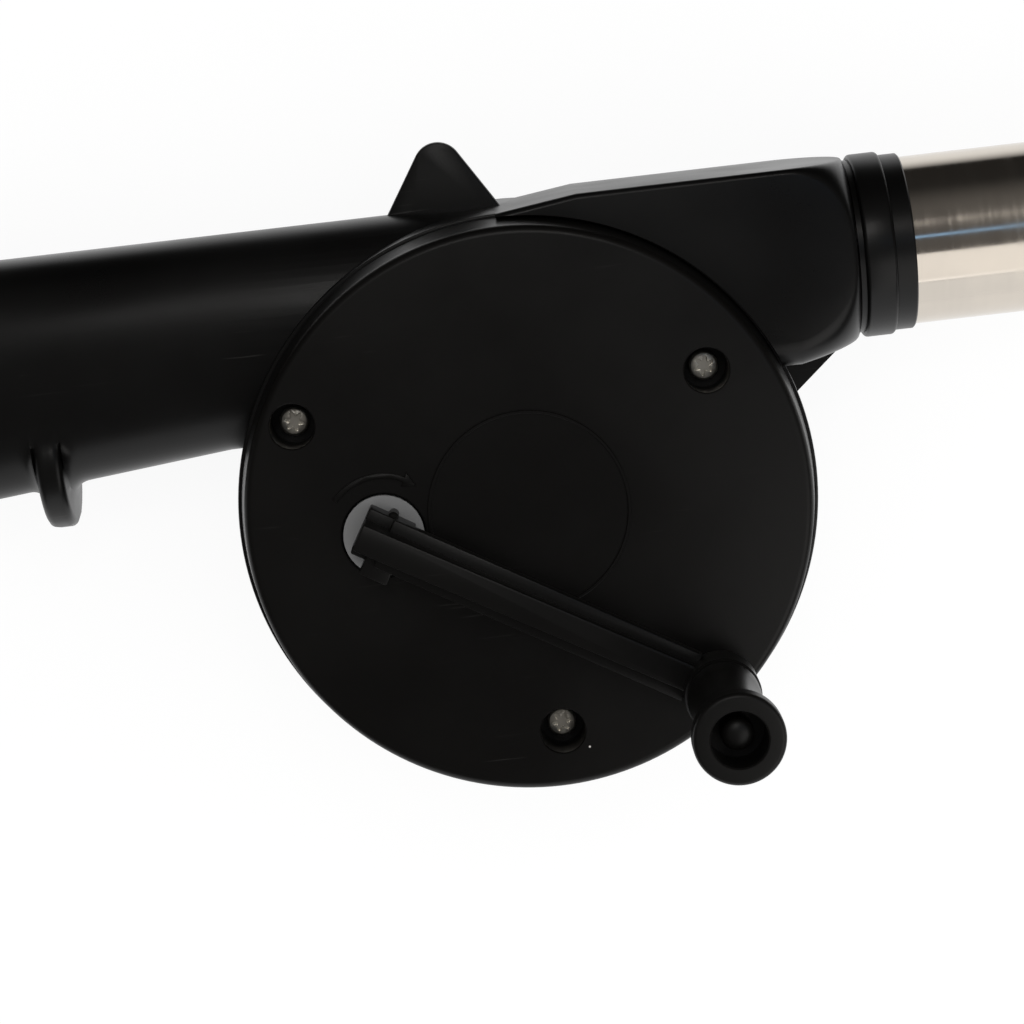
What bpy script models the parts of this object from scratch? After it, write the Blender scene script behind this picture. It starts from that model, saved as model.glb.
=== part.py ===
# Hand-cranked barbecue blower: drum housing, gear train, impeller, crank and nozzle tube.
# It lies on its flat back. +Z runs out of the cover along the fan axis, +X along the nozzle tube.
# The origin is the point where the fan axis meets the rear face. Blender's unit is the metre.

from math import acos, atan2, cos, hypot, pi, radians, sin, sqrt, tan

import bmesh
import bpy

MM = 0.001
round_steps = 64

# Clearances between neighbouring pieces
seat_gap = 0.3 * MM
running_gap = 0.5 * MM

# Drum: a round cup, closed by the front cover
drum_radius = 50.7 * MM
drum_depth = 44.0 * MM
drum_wall = 2.2 * MM
drum_bore = drum_radius - drum_wall
drum_edge = 1.5 * MM
rear_wall = 2.2 * MM
rim_inset = 0.6 * MM
draft_height = 20.0 * MM
mid_height = 20.5 * MM

# Rear intake grille: two rings of radial slots round a solid centre
slot_width = 3.0 * MM
slot_rib = 2.2 * MM
grille_inner_radius = 12.5 * MM
grille_bar = 2.0 * MM
grille_slot_length = 7.5 * MM

# Front cover
cover_face_inset = 2.2 * MM
cover_foot_inset = 1.3 * MM
cover_plate = 2.2 * MM
cover_skirt = 9.0 * MM
cover_fillet = 2.2 * MM
cover_spigot = 2.0 * MM
cover_spigot_wall = 1.6 * MM
relief_height = 0.3 * MM
relief_ring_radius = 17.0 * MM
relief_ring_width = 0.6 * MM
arrow_radius = 10.2 * MM
arrow_width = 0.9 * MM
arrow_start, arrow_end = radians(138), radians(64)
arrow_head_angle = radians(13)
arrow_head_width = 2.6 * MM

# Cover screws: head recessed at the foot of a counterbore, shank in a column of the housing
cover_screw_insets = [10.21 * MM, 5.84 * MM, 9.87 * MM]
cover_screw_angles = [radians(32.2), radians(153.6), radians(-87.9)]
counterbore_radius = 3.85 * MM
counterbore_depth = 9.2 * MM
counterbore_wall = 1.4 * MM
counterbore_floor = 1.8 * MM
screw_shank_radius = 1.3 * MM
screw_head_radius = 2.55 * MM
screw_head_height = 1.9 * MM
screw_recess_radius = 1.7 * MM
screw_recess_depth = 0.9 * MM
cover_screw_length = 13.0 * MM
column_radius = 3.4 * MM

# Gear plate, which parts the fan chamber from the gears
plate_height = 22.3 * MM
plate_thickness = 2.0 * MM
plate_post_angles = [radians(95), radians(205), radians(325)]
plate_post_inset = 6.5 * MM
plate_screw_length = 8.0 * MM

# Gears: the crank turns the drive gear, which turns the idler, which turns the fan pinion
# Their modules and the crank's place keep their proportion to the drum's bore
layout_bore = 48.5 * MM
layout = drum_bore / layout_bore
pressure_angle = radians(20)
addendum = 0.75
dedendum = 1.0
backlash = 0.22 * MM
drive_module_laid, fan_module_laid = 0.85 * MM, 0.80 * MM
drive_module = drive_module_laid * layout
drive_teeth, idler_pinion_teeth = 40, 12
fan_module = fan_module_laid * layout
idler_teeth, fan_pinion_teeth = 42, 12
gear_width = 4.2 * MM
level_gap = 1.0 * MM
crank_left, crank_drop = 25.0 * MM, 1.3 * MM
crank_axis = (-crank_left * layout, -crank_drop * layout)

# Axles and bushes
shaft_radius = 1.5 * MM
axle_radius = 1.6 * MM
axle_boss_wall = 1.7 * MM
bush_wall = 1.6 * MM
bush_length = 2.6 * MM
bush_flange = 1.0 * MM
bush_flange_height = 0.8 * MM
washer_thickness = 0.6 * MM

# Impeller: blades under a disc, open towards the rear grille
impeller_gap = 1.9 * MM
impeller_disc = 1.5 * MM
impeller_hub_radius = 5.0 * MM
blade_count = 12
blade_inner_radius = 13.0 * MM
blade_thickness = 1.2 * MM
blade_lean = radians(34)

# Crank: hub disc in the cover, square spindle, arm with a raised rib, pin and knob
hub_radius = 6.9 * MM
hub_proud = 0.2 * MM
spindle_width = 5.0 * MM
spindle_height = 4.0 * MM
crank_radius = 62.4 * MM
crank_angle = radians(-30.6)
arm_width = 8.7 * MM
arm_thickness = 3.0 * MM
arm_clearance = 5.0 * MM
arm_start = 0.2 * MM
arm_end_gap = 5.4 * MM
rib_width = 4.6 * MM
rib_height_hub, rib_height_end = 5.2 * MM, 1.5 * MM
hub_block = 8.4 * MM
hub_block_overlap = 0.7 * MM
hub_nub_radius = 0.9 * MM
hub_ear_width, hub_ear_length = 5.0 * MM, 2.4 * MM
arm_boss_radius = 6.5 * MM
arm_boss_height = 7.7 * MM
knob_length = 31.0 * MM
knob_foot_radius = 6.2 * MM
knob_waist_radius = 5.0 * MM
knob_flange_radius = 7.5 * MM
knob_flange_length = 3.6 * MM
knob_flange_lead = 1.5 * MM
knob_flange_undercut = 1.2 * MM
knob_foot_length = 3.0 * MM
knob_round = 0.8 * MM
knob_bore_radius = 4.6 * MM
knob_bore_depth = 8.0 * MM
pin_radius = 2.0 * MM
pin_head_radius = 2.7 * MM
pin_head_height = 4.6 * MM

# Handle: a hollow oval grip that leaves the upper half of the drum; a short stub of it is part of the housing
handle_length = 89.0 * MM
handle_rise = 0.4 * MM
handle_root_bottom, handle_end_bottom = 13.5 * MM, 7.7 * MM
handle_taper_length = 60.0 * MM
handle_half_depth = 13.2 * MM
handle_wall = 2.2 * MM
handle_square = 2.5
handle_start = -2.0 * MM
handle_blend = 12.0 * MM
handle_hollow_start = -28.0 * MM
handle_stub = 2.0 * MM
end_cap_thickness = 2.6 * MM
end_cap_spigot = 5.0 * MM

# Finger stop under the grip
stop_reach = 31.0 * MM
stop_width = 4.8 * MM
stop_radius = 12.6 * MM
stop_tip = 3.0 * MM

# Fin on the drum's top, and web under the neck
fin_thickness = 2.5 * MM
fin_place = -9.0 * MM
fin_rise = 7.7 * MM
fin_tip_radius = 4.3 * MM
fin_foot = 12.5 * MM
fin_foot_depth = 4.0 * MM
web_drop = 8.8 * MM
web_root, web_root_drop = 8.0 * MM, 6.0 * MM
web_inset = 1.4 * MM

# Neck: a flat-fronted duct that turns round at the collar
neck_reach = 9.9 * MM
neck_end_radius = 15.7 * MM
neck_rise = 1.3 * MM
neck_height = 33.7 * MM
neck_half_depth = 17.4 * MM
neck_round_length = 11.2 * MM
neck_wall = 2.0 * MM
neck_hollow_start = 12.0 * MM
neck_square = 6.0
neck_blend = 14.0 * MM
blend_sink = 0.5 * MM

# Nozzle: plastic collar and thin steel tube
collar_ring_radius, collar_ring_length = 16.0 * MM, 6.3 * MM
collar_lip_radius, collar_lip_length = 15.35 * MM, 3.4 * MM
collar_groove_depth, collar_groove_length = 0.9 * MM, 0.9 * MM
collar_chamfer = 0.5 * MM
collar_spigot_length = 7.0 * MM
collar_spigot_wall = 1.6 * MM
collar_shoulder = 1.6 * MM
tube_radius = 14.65 * MM
tube_wall = 0.6 * MM
tube_length = 72.5 * MM
tube_bead = 0.5 * MM

# Outlines in plan that follow from the drum's radius
rim_radius = drum_radius - rim_inset
cover_face_radius = drum_radius - cover_face_inset
cover_foot_radius = drum_radius - cover_foot_inset
plate_post_circle = drum_bore - plate_post_inset
impeller_radius = drum_bore - max(cover_screw_insets) - column_radius - impeller_gap
handle_top = drum_radius + handle_rise
handle_split = -drum_radius - handle_stub
stop_place = -drum_radius - stop_reach
fin_tip = (fin_place, drum_radius + fin_rise)
neck_top = drum_radius + neck_rise
neck_bottom = neck_top - neck_height
neck_end = drum_radius + neck_reach
neck_flat_end = neck_end - neck_round_length
tube_axis = neck_top - neck_end_radius

# Heights along the fan axis that follow from the sizes above
cover_inner = drum_depth - cover_plate
cup_rim = drum_depth - cover_skirt - seat_gap
counterbore_foot = drum_depth - counterbore_depth
boss_foot = counterbore_foot - counterbore_floor
plate_top = plate_height + plate_thickness
fan_gear_low = plate_top + 1.7 * MM
fan_gear_high = fan_gear_low + gear_width
drive_gear_low = fan_gear_high + level_gap
drive_gear_high = drive_gear_low + gear_width
idler_top = drive_gear_high + running_gap
blind_floor = plate_height + 1.0 * MM
cover_axle_boss_foot = idler_top + 1.0 * MM

# Plan positions of the gear train
drive_distance = drive_module * (drive_teeth + idler_pinion_teeth) / 2
fan_distance = fan_module * (idler_teeth + fan_pinion_teeth) / 2


def polar(radius, angle):
    return (radius * cos(angle), radius * sin(angle))


def idler_centre():
    # The idler's axis keeps both tooth distances: to the crank axis and to the fan axis
    span = hypot(*crank_axis)
    along = (fan_distance ** 2 - drive_distance ** 2 + span ** 2) / (2 * span)
    across = sqrt(fan_distance ** 2 - along ** 2)
    ux, uy = crank_axis[0] / span, crank_axis[1] / span
    return (along * ux - across * uy, along * uy + across * ux)


idler_axis = idler_centre()
cover_screw_places = [
    polar(drum_bore - inset, angle) for inset, angle in zip(cover_screw_insets, cover_screw_angles)]
knob_axis = (crank_axis[0] + crank_radius * cos(crank_angle), crank_axis[1] + crank_radius * sin(crank_angle))


def clear_scene():
    for thing in list(bpy.data.objects):
        bpy.data.objects.remove(thing, do_unlink=True)


def make_material(name, colour, roughness, metallic=0.0):
    material = bpy.data.materials.new(name)
    material.use_nodes = True
    shader = material.node_tree.nodes["Principled BSDF"]
    shader.inputs["Base Color"].default_value = (*colour, 1.0)
    shader.inputs["Roughness"].default_value = roughness
    shader.inputs["Metallic"].default_value = metallic
    return material


def arc(centre, radius, start, end, steps):
    # Points along an arc, both ends included
    points = []
    for step in range(steps + 1):
        angle = start + (end - start) * step / steps
        points.append((centre[0] + radius * cos(angle), centre[1] + radius * sin(angle)))
    return points


def finish_mesh(name, bm, material, smooth_angle=35):
    bmesh.ops.remove_doubles(bm, verts=bm.verts, dist=0.00001 * MM)
    bmesh.ops.recalc_face_normals(bm, faces=bm.faces)
    mesh = bpy.data.meshes.new(name)
    bm.to_mesh(mesh)
    bm.free()
    mesh.shade_smooth()
    mesh.set_sharp_from_angle(angle=radians(smooth_angle))
    if material:
        mesh.materials.append(material)
    item = bpy.data.objects.new(name, mesh)
    bpy.context.scene.collection.objects.link(item)
    return item


def extruded(name, outline, low, high, material=None):
    # A flat outline, raised from one height to another
    bm = bmesh.new()
    face = bm.faces.new([bm.verts.new((x, y, low)) for x, y in outline])
    grown = bmesh.ops.extrude_face_region(bm, geom=[face])
    raised = [part for part in grown["geom"] if isinstance(part, bmesh.types.BMVert)]
    bmesh.ops.translate(bm, verts=raised, vec=(0, 0, high - low))
    return finish_mesh(name, bm, material)


def turned(name, profile, material=None, steps=48, centre=(0, 0)):
    # A closed profile of (radius, height) points, spun about the vertical through its centre
    bm = bmesh.new()
    corners = [bm.verts.new((radius, 0, height)) for radius, height in profile]
    edges = [bm.edges.new((corners[index - 1], corners[index])) for index in range(len(corners))]
    bmesh.ops.spin(
        bm, geom=corners + edges, cent=(0, 0, 0), axis=(0, 0, 1), angle=2 * pi, steps=steps, use_merge=True)
    item = finish_mesh(name, bm, material)
    item.location = (centre[0], centre[1], 0)
    return item


def cylinder(name, radius, low, high, material=None, steps=32, centre=(0, 0)):
    return turned(name, [(0, low), (radius, low), (radius, high), (0, high)], material, steps, centre)


def lofted(name, rings, material=None):
    # Rings of equally many points, skinned one to the next and capped at both ends
    bm = bmesh.new()
    loops = [[bm.verts.new(point) for point in ring] for ring in rings]
    for first, second in zip(loops, loops[1:]):
        for index in range(len(first)):
            bm.faces.new((first[index - 1], first[index], second[index], second[index - 1]))
    bm.faces.new(loops[0])
    bm.faces.new(loops[-1])
    return finish_mesh(name, bm, material)


def oval_ring(x, top, bottom, half_depth, square, steps=28):
    # A rounded oval across X: square 2 is an ellipse, higher values are boxier
    middle, half = (top + bottom) / 2, (top - bottom) / 2
    ring = []
    for step in range(steps):
        angle = 2 * pi * step / steps
        across, deep = cos(angle), sin(angle)
        y = middle + half * abs(across) ** (2 / square) * (1 if across >= 0 else -1)
        z = mid_height + half_depth * abs(deep) ** (2 / square) * (1 if deep >= 0 else -1)
        ring.append((x, y, z))
    return ring


def combine(target, tools, operation):
    # One Boolean step with a group of hidden tool shapes
    group = bpy.data.collections.new(f"{target.name}_{operation.lower()}_{len(target.modifiers)}")
    bpy.context.scene.collection.children.link(group)
    for tool in tools:
        bpy.context.scene.collection.objects.unlink(tool)
        group.objects.link(tool)
        tool.hide_render = True
        tool.display_type = "WIRE"
    step = target.modifiers.new(group.name, "BOOLEAN")
    step.operation = operation
    step.operand_type = "COLLECTION"
    step.collection = group
    step.solver = "EXACT"


def screw(name, place, seat, length, material):
    # Self-tapping screw with a domed head and a six-point recess; seat is the underside of its head
    head_top = seat + screw_head_height
    profile = [
        (0, seat - length),
        (screw_shank_radius * 0.6, seat - length + screw_shank_radius),
        (screw_shank_radius, seat - length + 2.5 * screw_shank_radius),
        (screw_shank_radius, seat),
        (screw_head_radius, seat),
        (screw_head_radius, head_top - 0.35 * screw_head_height),
        (screw_head_radius * 0.82, head_top - 0.1 * screw_head_height),
        (0, head_top),
    ]
    item = turned(name, profile, material, 16, place)
    star = []
    for point in range(12):
        reach = screw_recess_radius if point % 2 == 0 else screw_recess_radius * 0.68
        star.append(polar(reach, pi * point / 6))
    recess = extruded(f"{name}_recess", star, head_top - screw_recess_depth, head_top + screw_recess_depth)
    recess.location = item.location
    combine(item, [recess], "DIFFERENCE")
    return item


def involute(base, radius):
    if radius <= base:
        return 0.0
    angle = acos(base / radius)
    return tan(angle) - angle


def gear_outline(teeth, module, phase):
    # Involute teeth; phase is the direction of the middle of one tooth
    pitch = teeth * module / 2
    base = pitch * cos(pressure_angle)
    tip = pitch + addendum * module
    root = pitch - dedendum * module
    half_at_pitch = (pi * module / 2 - backlash) / (2 * pitch)
    start = max(base, root)
    radii = [start + (tip - start) * step / 2 for step in range(3)]

    def half_angle(radius):
        return half_at_pitch + involute(base, pitch) - involute(base, radius)

    flank = [(radius, half_angle(radius)) for radius in radii]
    if root < base:
        flank.insert(0, (root, half_angle(base)))
    outline = []
    for tooth in range(teeth):
        middle = phase + 2 * pi * tooth / teeth
        outline += [polar(radius, middle - half) for radius, half in flank]
        outline += [polar(radius, middle + half) for radius, half in reversed(flank)]
    return outline


def handle_bottom(x):
    # The underside drops steadily away from the drum, then runs level
    reach = min(max((-x - drum_radius) / handle_taper_length, 0), 1)
    return handle_root_bottom + (handle_end_bottom - handle_root_bottom) * reach


def handle_ring(x, inset, top=handle_top):
    return oval_ring(x, top - inset, handle_bottom(x) + inset, handle_half_depth - inset, handle_square)


def handle_rings(start, end, inset):
    # The sides run straight between the places where the underside bends
    bends = [x for x in (-drum_radius, -drum_radius - handle_taper_length) if end < x < start]
    return [handle_ring(x, inset) for x in [start] + bends + [end]]


def neck_rings(start, end, inset):
    # Boxy as far as neck_flat_end, then round along a quarter circle, so the flat front ends in a D
    end_top, end_bottom = tube_axis + neck_end_radius, tube_axis - neck_end_radius
    rings = []
    for x, top in ((start, drum_radius - blend_sink), (start + neck_blend, neck_top)):
        rings.append(oval_ring(x, top - inset, neck_bottom + inset, neck_half_depth - inset, neck_square))
    steps = 5
    for step in range(steps + 1):
        swing = pi / 2 * step / steps
        ease = 1 - cos(swing)
        x = neck_flat_end + (neck_end - neck_flat_end) * sin(swing)
        rings.append(oval_ring(
            x,
            neck_top + (end_top - neck_top) * ease - inset,
            neck_bottom + (end_bottom - neck_bottom) * sin(swing) + inset,
            neck_half_depth + (neck_end_radius - neck_half_depth) * ease - inset,
            neck_square + (2 - neck_square) * ease))
    if end > neck_end:
        rings.append(oval_ring(end, end_top - inset, end_bottom + inset, neck_end_radius - inset, 2))
    return rings


def tangent_angle(centre, radius, point, side):
    # Direction, from the centre, of the spot where a line from the point touches the circle
    dx, dy = point[0] - centre[0], point[1] - centre[1]
    return atan2(dy, dx) + side * acos(radius / hypot(dx, dy))


def make_fin():
    left = (fin_tip[0] - fin_foot, drum_radius - fin_foot_depth)
    right = (fin_tip[0] + fin_foot, drum_radius - fin_foot_depth)
    start = tangent_angle(fin_tip, fin_tip_radius, right, 1)
    end = tangent_angle(fin_tip, fin_tip_radius, left, -1) % (2 * pi)
    outline = [left, right] + arc(fin_tip, fin_tip_radius, start, end, 8)
    low = mid_height - fin_thickness / 2
    return extruded("fin", outline, low, low + fin_thickness)


def make_web():
    # A triangle in the corner between the drum and the underside of the neck
    neck_foot = tube_axis - neck_end_radius
    side = sqrt(drum_radius ** 2 - (neck_foot - web_drop) ** 2)
    outline = [
        (side - web_root, neck_foot - web_drop - web_root_drop),
        (side - blend_sink, neck_foot - web_drop),
        (neck_end - web_inset, neck_foot),
        (neck_end - web_inset, neck_foot + neck_wall / 2),
        (side - web_root, neck_foot + neck_wall / 2),
    ]
    low = mid_height - fin_thickness / 2
    return extruded("web", outline, low, low + fin_thickness)


def make_finger_stop():
    # A round-edged disc across the grip; only its lower edge stands out of the handle
    half, round_off = stop_width / 2, stop_width * 0.3
    profile = [(0, -half), (stop_radius - round_off, -half), (stop_radius, -half + round_off),
               (stop_radius, half - round_off), (stop_radius - round_off, half), (0, half)]
    stop = turned("finger_stop", profile, None, 32)
    stop.rotation_euler = (0, pi / 2, 0)
    stop.location = (stop_place, stop_tip + stop_radius, mid_height)
    return stop


def slot_cutters():
    # Two rings of radial slots, as many as the ribs between them allow
    cutters = []
    for ring in range(2):
        inner = grille_inner_radius + ring * (grille_slot_length + grille_bar)
        outer = inner + grille_slot_length
        count = int(2 * pi * inner / (slot_width + slot_rib))
        for slot in range(count):
            half = slot_width / 2
            outline = [(inner, -half), (outer, -half), (outer, half), (inner, half)]
            cutter = extruded(f"slot_{ring}_{slot}", outline, -rear_wall, 2 * rear_wall)
            cutter.rotation_euler = (0, 0, 2 * pi * slot / count)
            cutters.append(cutter)
    return cutters


def make_grip(material):
    # Open oval tube with the finger stop, butted to the housing's stub
    start, end = handle_split - seat_gap, -drum_radius - handle_length
    grip = lofted("handle_grip", handle_rings(start, end, 0), material)
    combine(grip, [make_finger_stop()], "UNION")
    hollow = lofted("grip_hollow", handle_rings(start + handle_wall, end - handle_wall, handle_wall))
    combine(grip, [hollow], "DIFFERENCE")


def make_housing(material):
    # Drum cup with the grip's stub, the air duct, the fin and the web
    housing = turned("main_housing", [
        (0, 0), (drum_radius - drum_edge, 0), (drum_radius - 0.3 * drum_edge, 0.3 * drum_edge),
        (drum_radius, drum_edge), (drum_radius, draft_height), (rim_radius, cup_rim), (0, cup_rim)],
        material, round_steps)
    buried = [handle_ring(handle_start, 0, drum_radius - blend_sink)]
    outside = [
        lofted("stub_outside", buried + handle_rings(handle_start - handle_blend, handle_split, 0)),
        lofted("neck_outside", neck_rings(0, neck_end, 0)),
        make_fin(), make_web(),
    ]
    combine(housing, outside, "UNION")

    # The hollows stop at the drum's wall, which stays whole beside the cover and the gears
    stub_rings = handle_rings(handle_hollow_start, handle_split - handle_wall, handle_wall)
    stub_hollow = lofted("stub_hollow", stub_rings)
    hollow_stop = cylinder("stub_hollow_stop", drum_radius, -MM, drum_depth, None, round_steps)
    combine(stub_hollow, [hollow_stop], "DIFFERENCE")
    neck_hollow = lofted("neck_hollow", neck_rings(neck_hollow_start, neck_end + neck_wall, neck_wall))
    duct_stop = cylinder(
        "neck_hollow_stop", drum_radius + neck_wall, plate_height, drum_depth, None, round_steps)
    combine(neck_hollow, [duct_stop], "DIFFERENCE")
    cover_room = cylinder(
        "cover_room", cover_foot_radius + seat_gap, cup_rim, drum_depth + MM, None, round_steps)
    cup_hollow = cylinder("cup_hollow", drum_bore, rear_wall, drum_depth, None, round_steps)
    combine(housing, [stub_hollow, neck_hollow, cover_room, cup_hollow], "DIFFERENCE")

    sunk = rear_wall / 2
    bearing_top = rear_wall + bush_length
    column_top, post_top = boss_foot - seat_gap, plate_height - seat_gap
    inside = [cylinder("bearing_boss", shaft_radius + seat_gap + bush_wall + 2 * MM, sunk, bearing_top)]
    for number, place in enumerate(cover_screw_places, 1):
        inside.append(cylinder(f"column_{number}", column_radius, sunk, column_top, None, 16, place))
    for number, angle in enumerate(plate_post_angles, 1):
        place = polar(plate_post_circle, angle)
        inside.append(cylinder(f"post_{number}", column_radius, sunk, post_top, None, 16, place))
    combine(housing, inside, "UNION")

    pilot = screw_shank_radius + seat_gap
    bush_radius = shaft_radius + seat_gap + bush_wall
    holes = [cylinder("bush_pocket", bush_radius + seat_gap, rear_wall, bearing_top + MM, None, 24)]
    for number, place in enumerate(cover_screw_places, 1):
        foot = counterbore_foot - cover_screw_length - MM
        holes.append(cylinder(f"pilot_{number}", pilot, foot, drum_depth, None, 12, place))
    for number, angle in enumerate(plate_post_angles, 1):
        place = polar(plate_post_circle, angle)
        foot = plate_top - plate_screw_length - MM
        holes.append(cylinder(f"post_pilot_{number}", pilot, foot, drum_depth, None, 12, place))
    combine(housing, holes + slot_cutters(), "DIFFERENCE")
    return housing


def make_cover(material):
    # Plate, drafted skirt and a spigot that centres it in the cup
    edge = drum_depth - cover_fillet
    skirt_foot = drum_depth - cover_skirt
    spigot_radius = drum_bore - seat_gap
    inner = spigot_radius - cover_spigot_wall
    face = cover_face_radius
    fillet = arc((face - cover_fillet, edge), cover_fillet, 0, pi / 2, 3)
    cover = turned("front_cover", [
        (0, cover_inner), (inner, cover_inner), (inner, skirt_foot - cover_spigot),
        (spigot_radius, skirt_foot - cover_spigot), (spigot_radius, skirt_foot),
        (cover_foot_radius, skirt_foot), *fillet, (0, drum_depth)], material, round_steps)

    sunk = drum_depth - cover_plate / 2
    bosses = []
    for number, place in enumerate(cover_screw_places, 1):
        radius = counterbore_radius + counterbore_wall
        bosses.append(cylinder(f"counterbore_boss_{number}", radius, boss_foot, sunk, None, 24, place))
    axle_boss = axle_radius + seat_gap + axle_boss_wall
    bosses.append(cylinder("axle_boss", axle_boss, cover_axle_boss_foot, sunk, None, 24, idler_axis))
    bearing = hub_radius + seat_gap + 2 * MM
    bosses.append(cylinder("hub_bearing", bearing, cover_inner - 2.5 * MM, sunk, None, 36, crank_axis))
    bosses += make_relief()
    combine(cover, bosses, "UNION")

    above = drum_depth + MM
    pilot = screw_shank_radius + seat_gap
    socket_top = cover_inner - 0.6 * MM
    holes = [cylinder("hub_hole", hub_radius + seat_gap, 0, above, None, 36, crank_axis)]
    holes.append(cylinder("axle_socket", axle_radius + seat_gap, 0, socket_top, None, 20, idler_axis))
    for number, place in enumerate(cover_screw_places, 1):
        holes.append(cylinder(
            f"counterbore_{number}", counterbore_radius, counterbore_foot, above, None, 24, place))
        holes.append(cylinder(f"screw_hole_{number}", pilot, 0, above, None, 16, place))
    combine(cover, holes, "DIFFERENCE")
    return cover


def make_relief():
    # Raised ring in the middle of the cover, and the raised arrow that shows the way to turn
    low, high = drum_depth - cover_plate / 2, drum_depth + relief_height
    inner, outer = relief_ring_radius - relief_ring_width / 2, relief_ring_radius + relief_ring_width / 2
    ring = turned("relief_ring", [(inner, low), (outer, low), (outer, high), (inner, high)], None, 40)
    half = arrow_width / 2
    tail = arc((0, 0), arrow_radius + half, arrow_start, arrow_end, 8)
    back = arc((0, 0), arrow_radius - half, arrow_end, arrow_start, 8)
    head = [
        polar(arrow_radius - arrow_head_width / 2, arrow_end),
        polar(arrow_radius, arrow_end - arrow_head_angle),
        polar(arrow_radius + arrow_head_width / 2, arrow_end),
    ]
    arrow = extruded("relief_arrow", tail + list(reversed(head)) + back, low, high)
    arrow.location = (*crank_axis, 0)
    return [ring, arrow]


def make_gear_plate(material):
    plate = cylinder("gear_plate", drum_bore - seat_gap, plate_height, plate_top, material, round_steps)
    sunk = plate_height + plate_thickness / 2
    boss = axle_radius + seat_gap + axle_boss_wall
    bosses = [
        cylinder("drive_axle_boss", boss, sunk, drive_gear_low - running_gap, None, 24, crank_axis),
        cylinder("idler_axle_boss", boss, sunk, fan_gear_low - running_gap, None, 24, idler_axis),
    ]
    combine(plate, bosses, "UNION")
    holes = []
    for number, place in enumerate([crank_axis, idler_axis], 1):
        holes.append(cylinder(
            f"axle_hole_{number}", axle_radius + seat_gap, blind_floor, drum_depth, None, 20, place))
    for number, place in enumerate(cover_screw_places, 1):
        holes.append(cylinder(
            f"column_hole_{number}", column_radius + running_gap, 0, drum_depth, None, 20, place))
    for number, angle in enumerate(plate_post_angles, 1):
        place = polar(plate_post_circle, angle)
        holes.append(cylinder(
            f"plate_hole_{number}", screw_shank_radius + seat_gap, 0, drum_depth, None, 16, place))
    bush_radius = shaft_radius + seat_gap + bush_wall
    holes.append(cylinder("bush_hole", bush_radius + seat_gap, 0, drum_depth, None, 24))
    combine(plate, holes, "DIFFERENCE")
    return plate


def make_bushes(material):
    # The rear bush fills its pocket; the front one hangs in the plate by its flange
    bore = shaft_radius + seat_gap
    radius = bore + bush_wall
    rear_low = rear_wall + seat_gap
    rear_high = rear_wall + bush_length
    rear = [(bore, rear_low), (radius, rear_low), (radius, rear_high), (bore, rear_high)]
    turned("rear_bush", rear, material, 24)
    flange_low = plate_top + seat_gap
    flange_high = flange_low + bush_flange_height
    foot = plate_top - bush_length
    front = [(bore, foot), (radius, foot), (radius, flange_low), (radius + bush_flange, flange_low),
             (radius + bush_flange, flange_high), (bore, flange_high)]
    turned("front_bush", front, material, 24)


def make_fan(plastic, steel):
    # Shaft, pinion, impeller and the washer between the impeller and the rear bush
    shaft_low = rear_wall + seat_gap
    shaft_high = fan_gear_high + level_gap / 2
    cylinder("fan_shaft", shaft_radius, shaft_low, shaft_high, steel, 20)
    bore = shaft_radius + seat_gap
    washer_low = rear_wall + bush_length + seat_gap
    washer_high = washer_low + washer_thickness
    turned("fan_washer", [(bore, washer_low), (bore + bush_wall, washer_low), (bore + bush_wall, washer_high),
                          (bore, washer_high)], steel, 24)

    toward_idler = atan2(idler_axis[1], idler_axis[0])
    outline = gear_outline(fan_pinion_teeth, fan_module, toward_idler + pi / fan_pinion_teeth)
    pinion = extruded("fan_pinion", outline, fan_gear_low - running_gap, fan_gear_high + running_gap, plastic)
    combine(pinion, [cylinder("fan_pinion_bore", bore, 0, drum_depth, None, 20)], "DIFFERENCE")

    hub_low = washer_high + seat_gap
    disc_top = plate_height - 2 * MM
    disc_low = disc_top - impeller_disc
    impeller = turned("impeller", [
        (bore, hub_low), (impeller_hub_radius, hub_low), (impeller_hub_radius, disc_low),
        (impeller_radius, disc_low), (impeller_radius, disc_top), (bore, disc_top)], plastic, 48)
    blades = []
    for number in range(blade_count):
        blade = extruded(f"blade_{number}", blade_outline(), hub_low, disc_top - impeller_disc / 2)
        blade.rotation_euler = (0, 0, 2 * pi * number / blade_count)
        blades.append(blade)
    combine(impeller, blades, "UNION")


def blade_outline(steps=4):
    # A thin blade that leans back more and more towards its tip
    outer = impeller_radius - MM
    near, far = [], []
    for step in range(steps + 1):
        share = step / steps
        radius = blade_inner_radius + (outer - blade_inner_radius) * share
        angle = blade_lean * share ** 1.4
        half = blade_thickness / 2 / radius
        near.append(polar(radius, angle - half))
        far.append(polar(radius, angle + half))
    return near + list(reversed(far))


def make_idler(bronze, steel):
    toward_fan = atan2(-idler_axis[1], -idler_axis[0])
    toward_crank = atan2(crank_axis[1] - idler_axis[1], crank_axis[0] - idler_axis[0])
    idler = extruded("idler_gear", gear_outline(idler_teeth, fan_module, toward_fan),
                     fan_gear_low, fan_gear_high, bronze)
    pinion_outline = gear_outline(idler_pinion_teeth, drive_module, toward_crank + pi / idler_pinion_teeth)
    pinion = extruded("idler_pinion", pinion_outline, fan_gear_high - gear_width / 2, idler_top)
    combine(idler, [pinion], "UNION")
    bore = cylinder("idler_bore", axle_radius + seat_gap, 0, drum_depth, None, 20)
    combine(idler, [bore], "DIFFERENCE")
    for item in (idler, pinion, bore):
        item.location = (*idler_axis, 0)
    axle_top = cover_inner - MM
    cylinder("idler_axle", axle_radius, blind_floor + seat_gap, axle_top, steel, 20, idler_axis)


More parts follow.
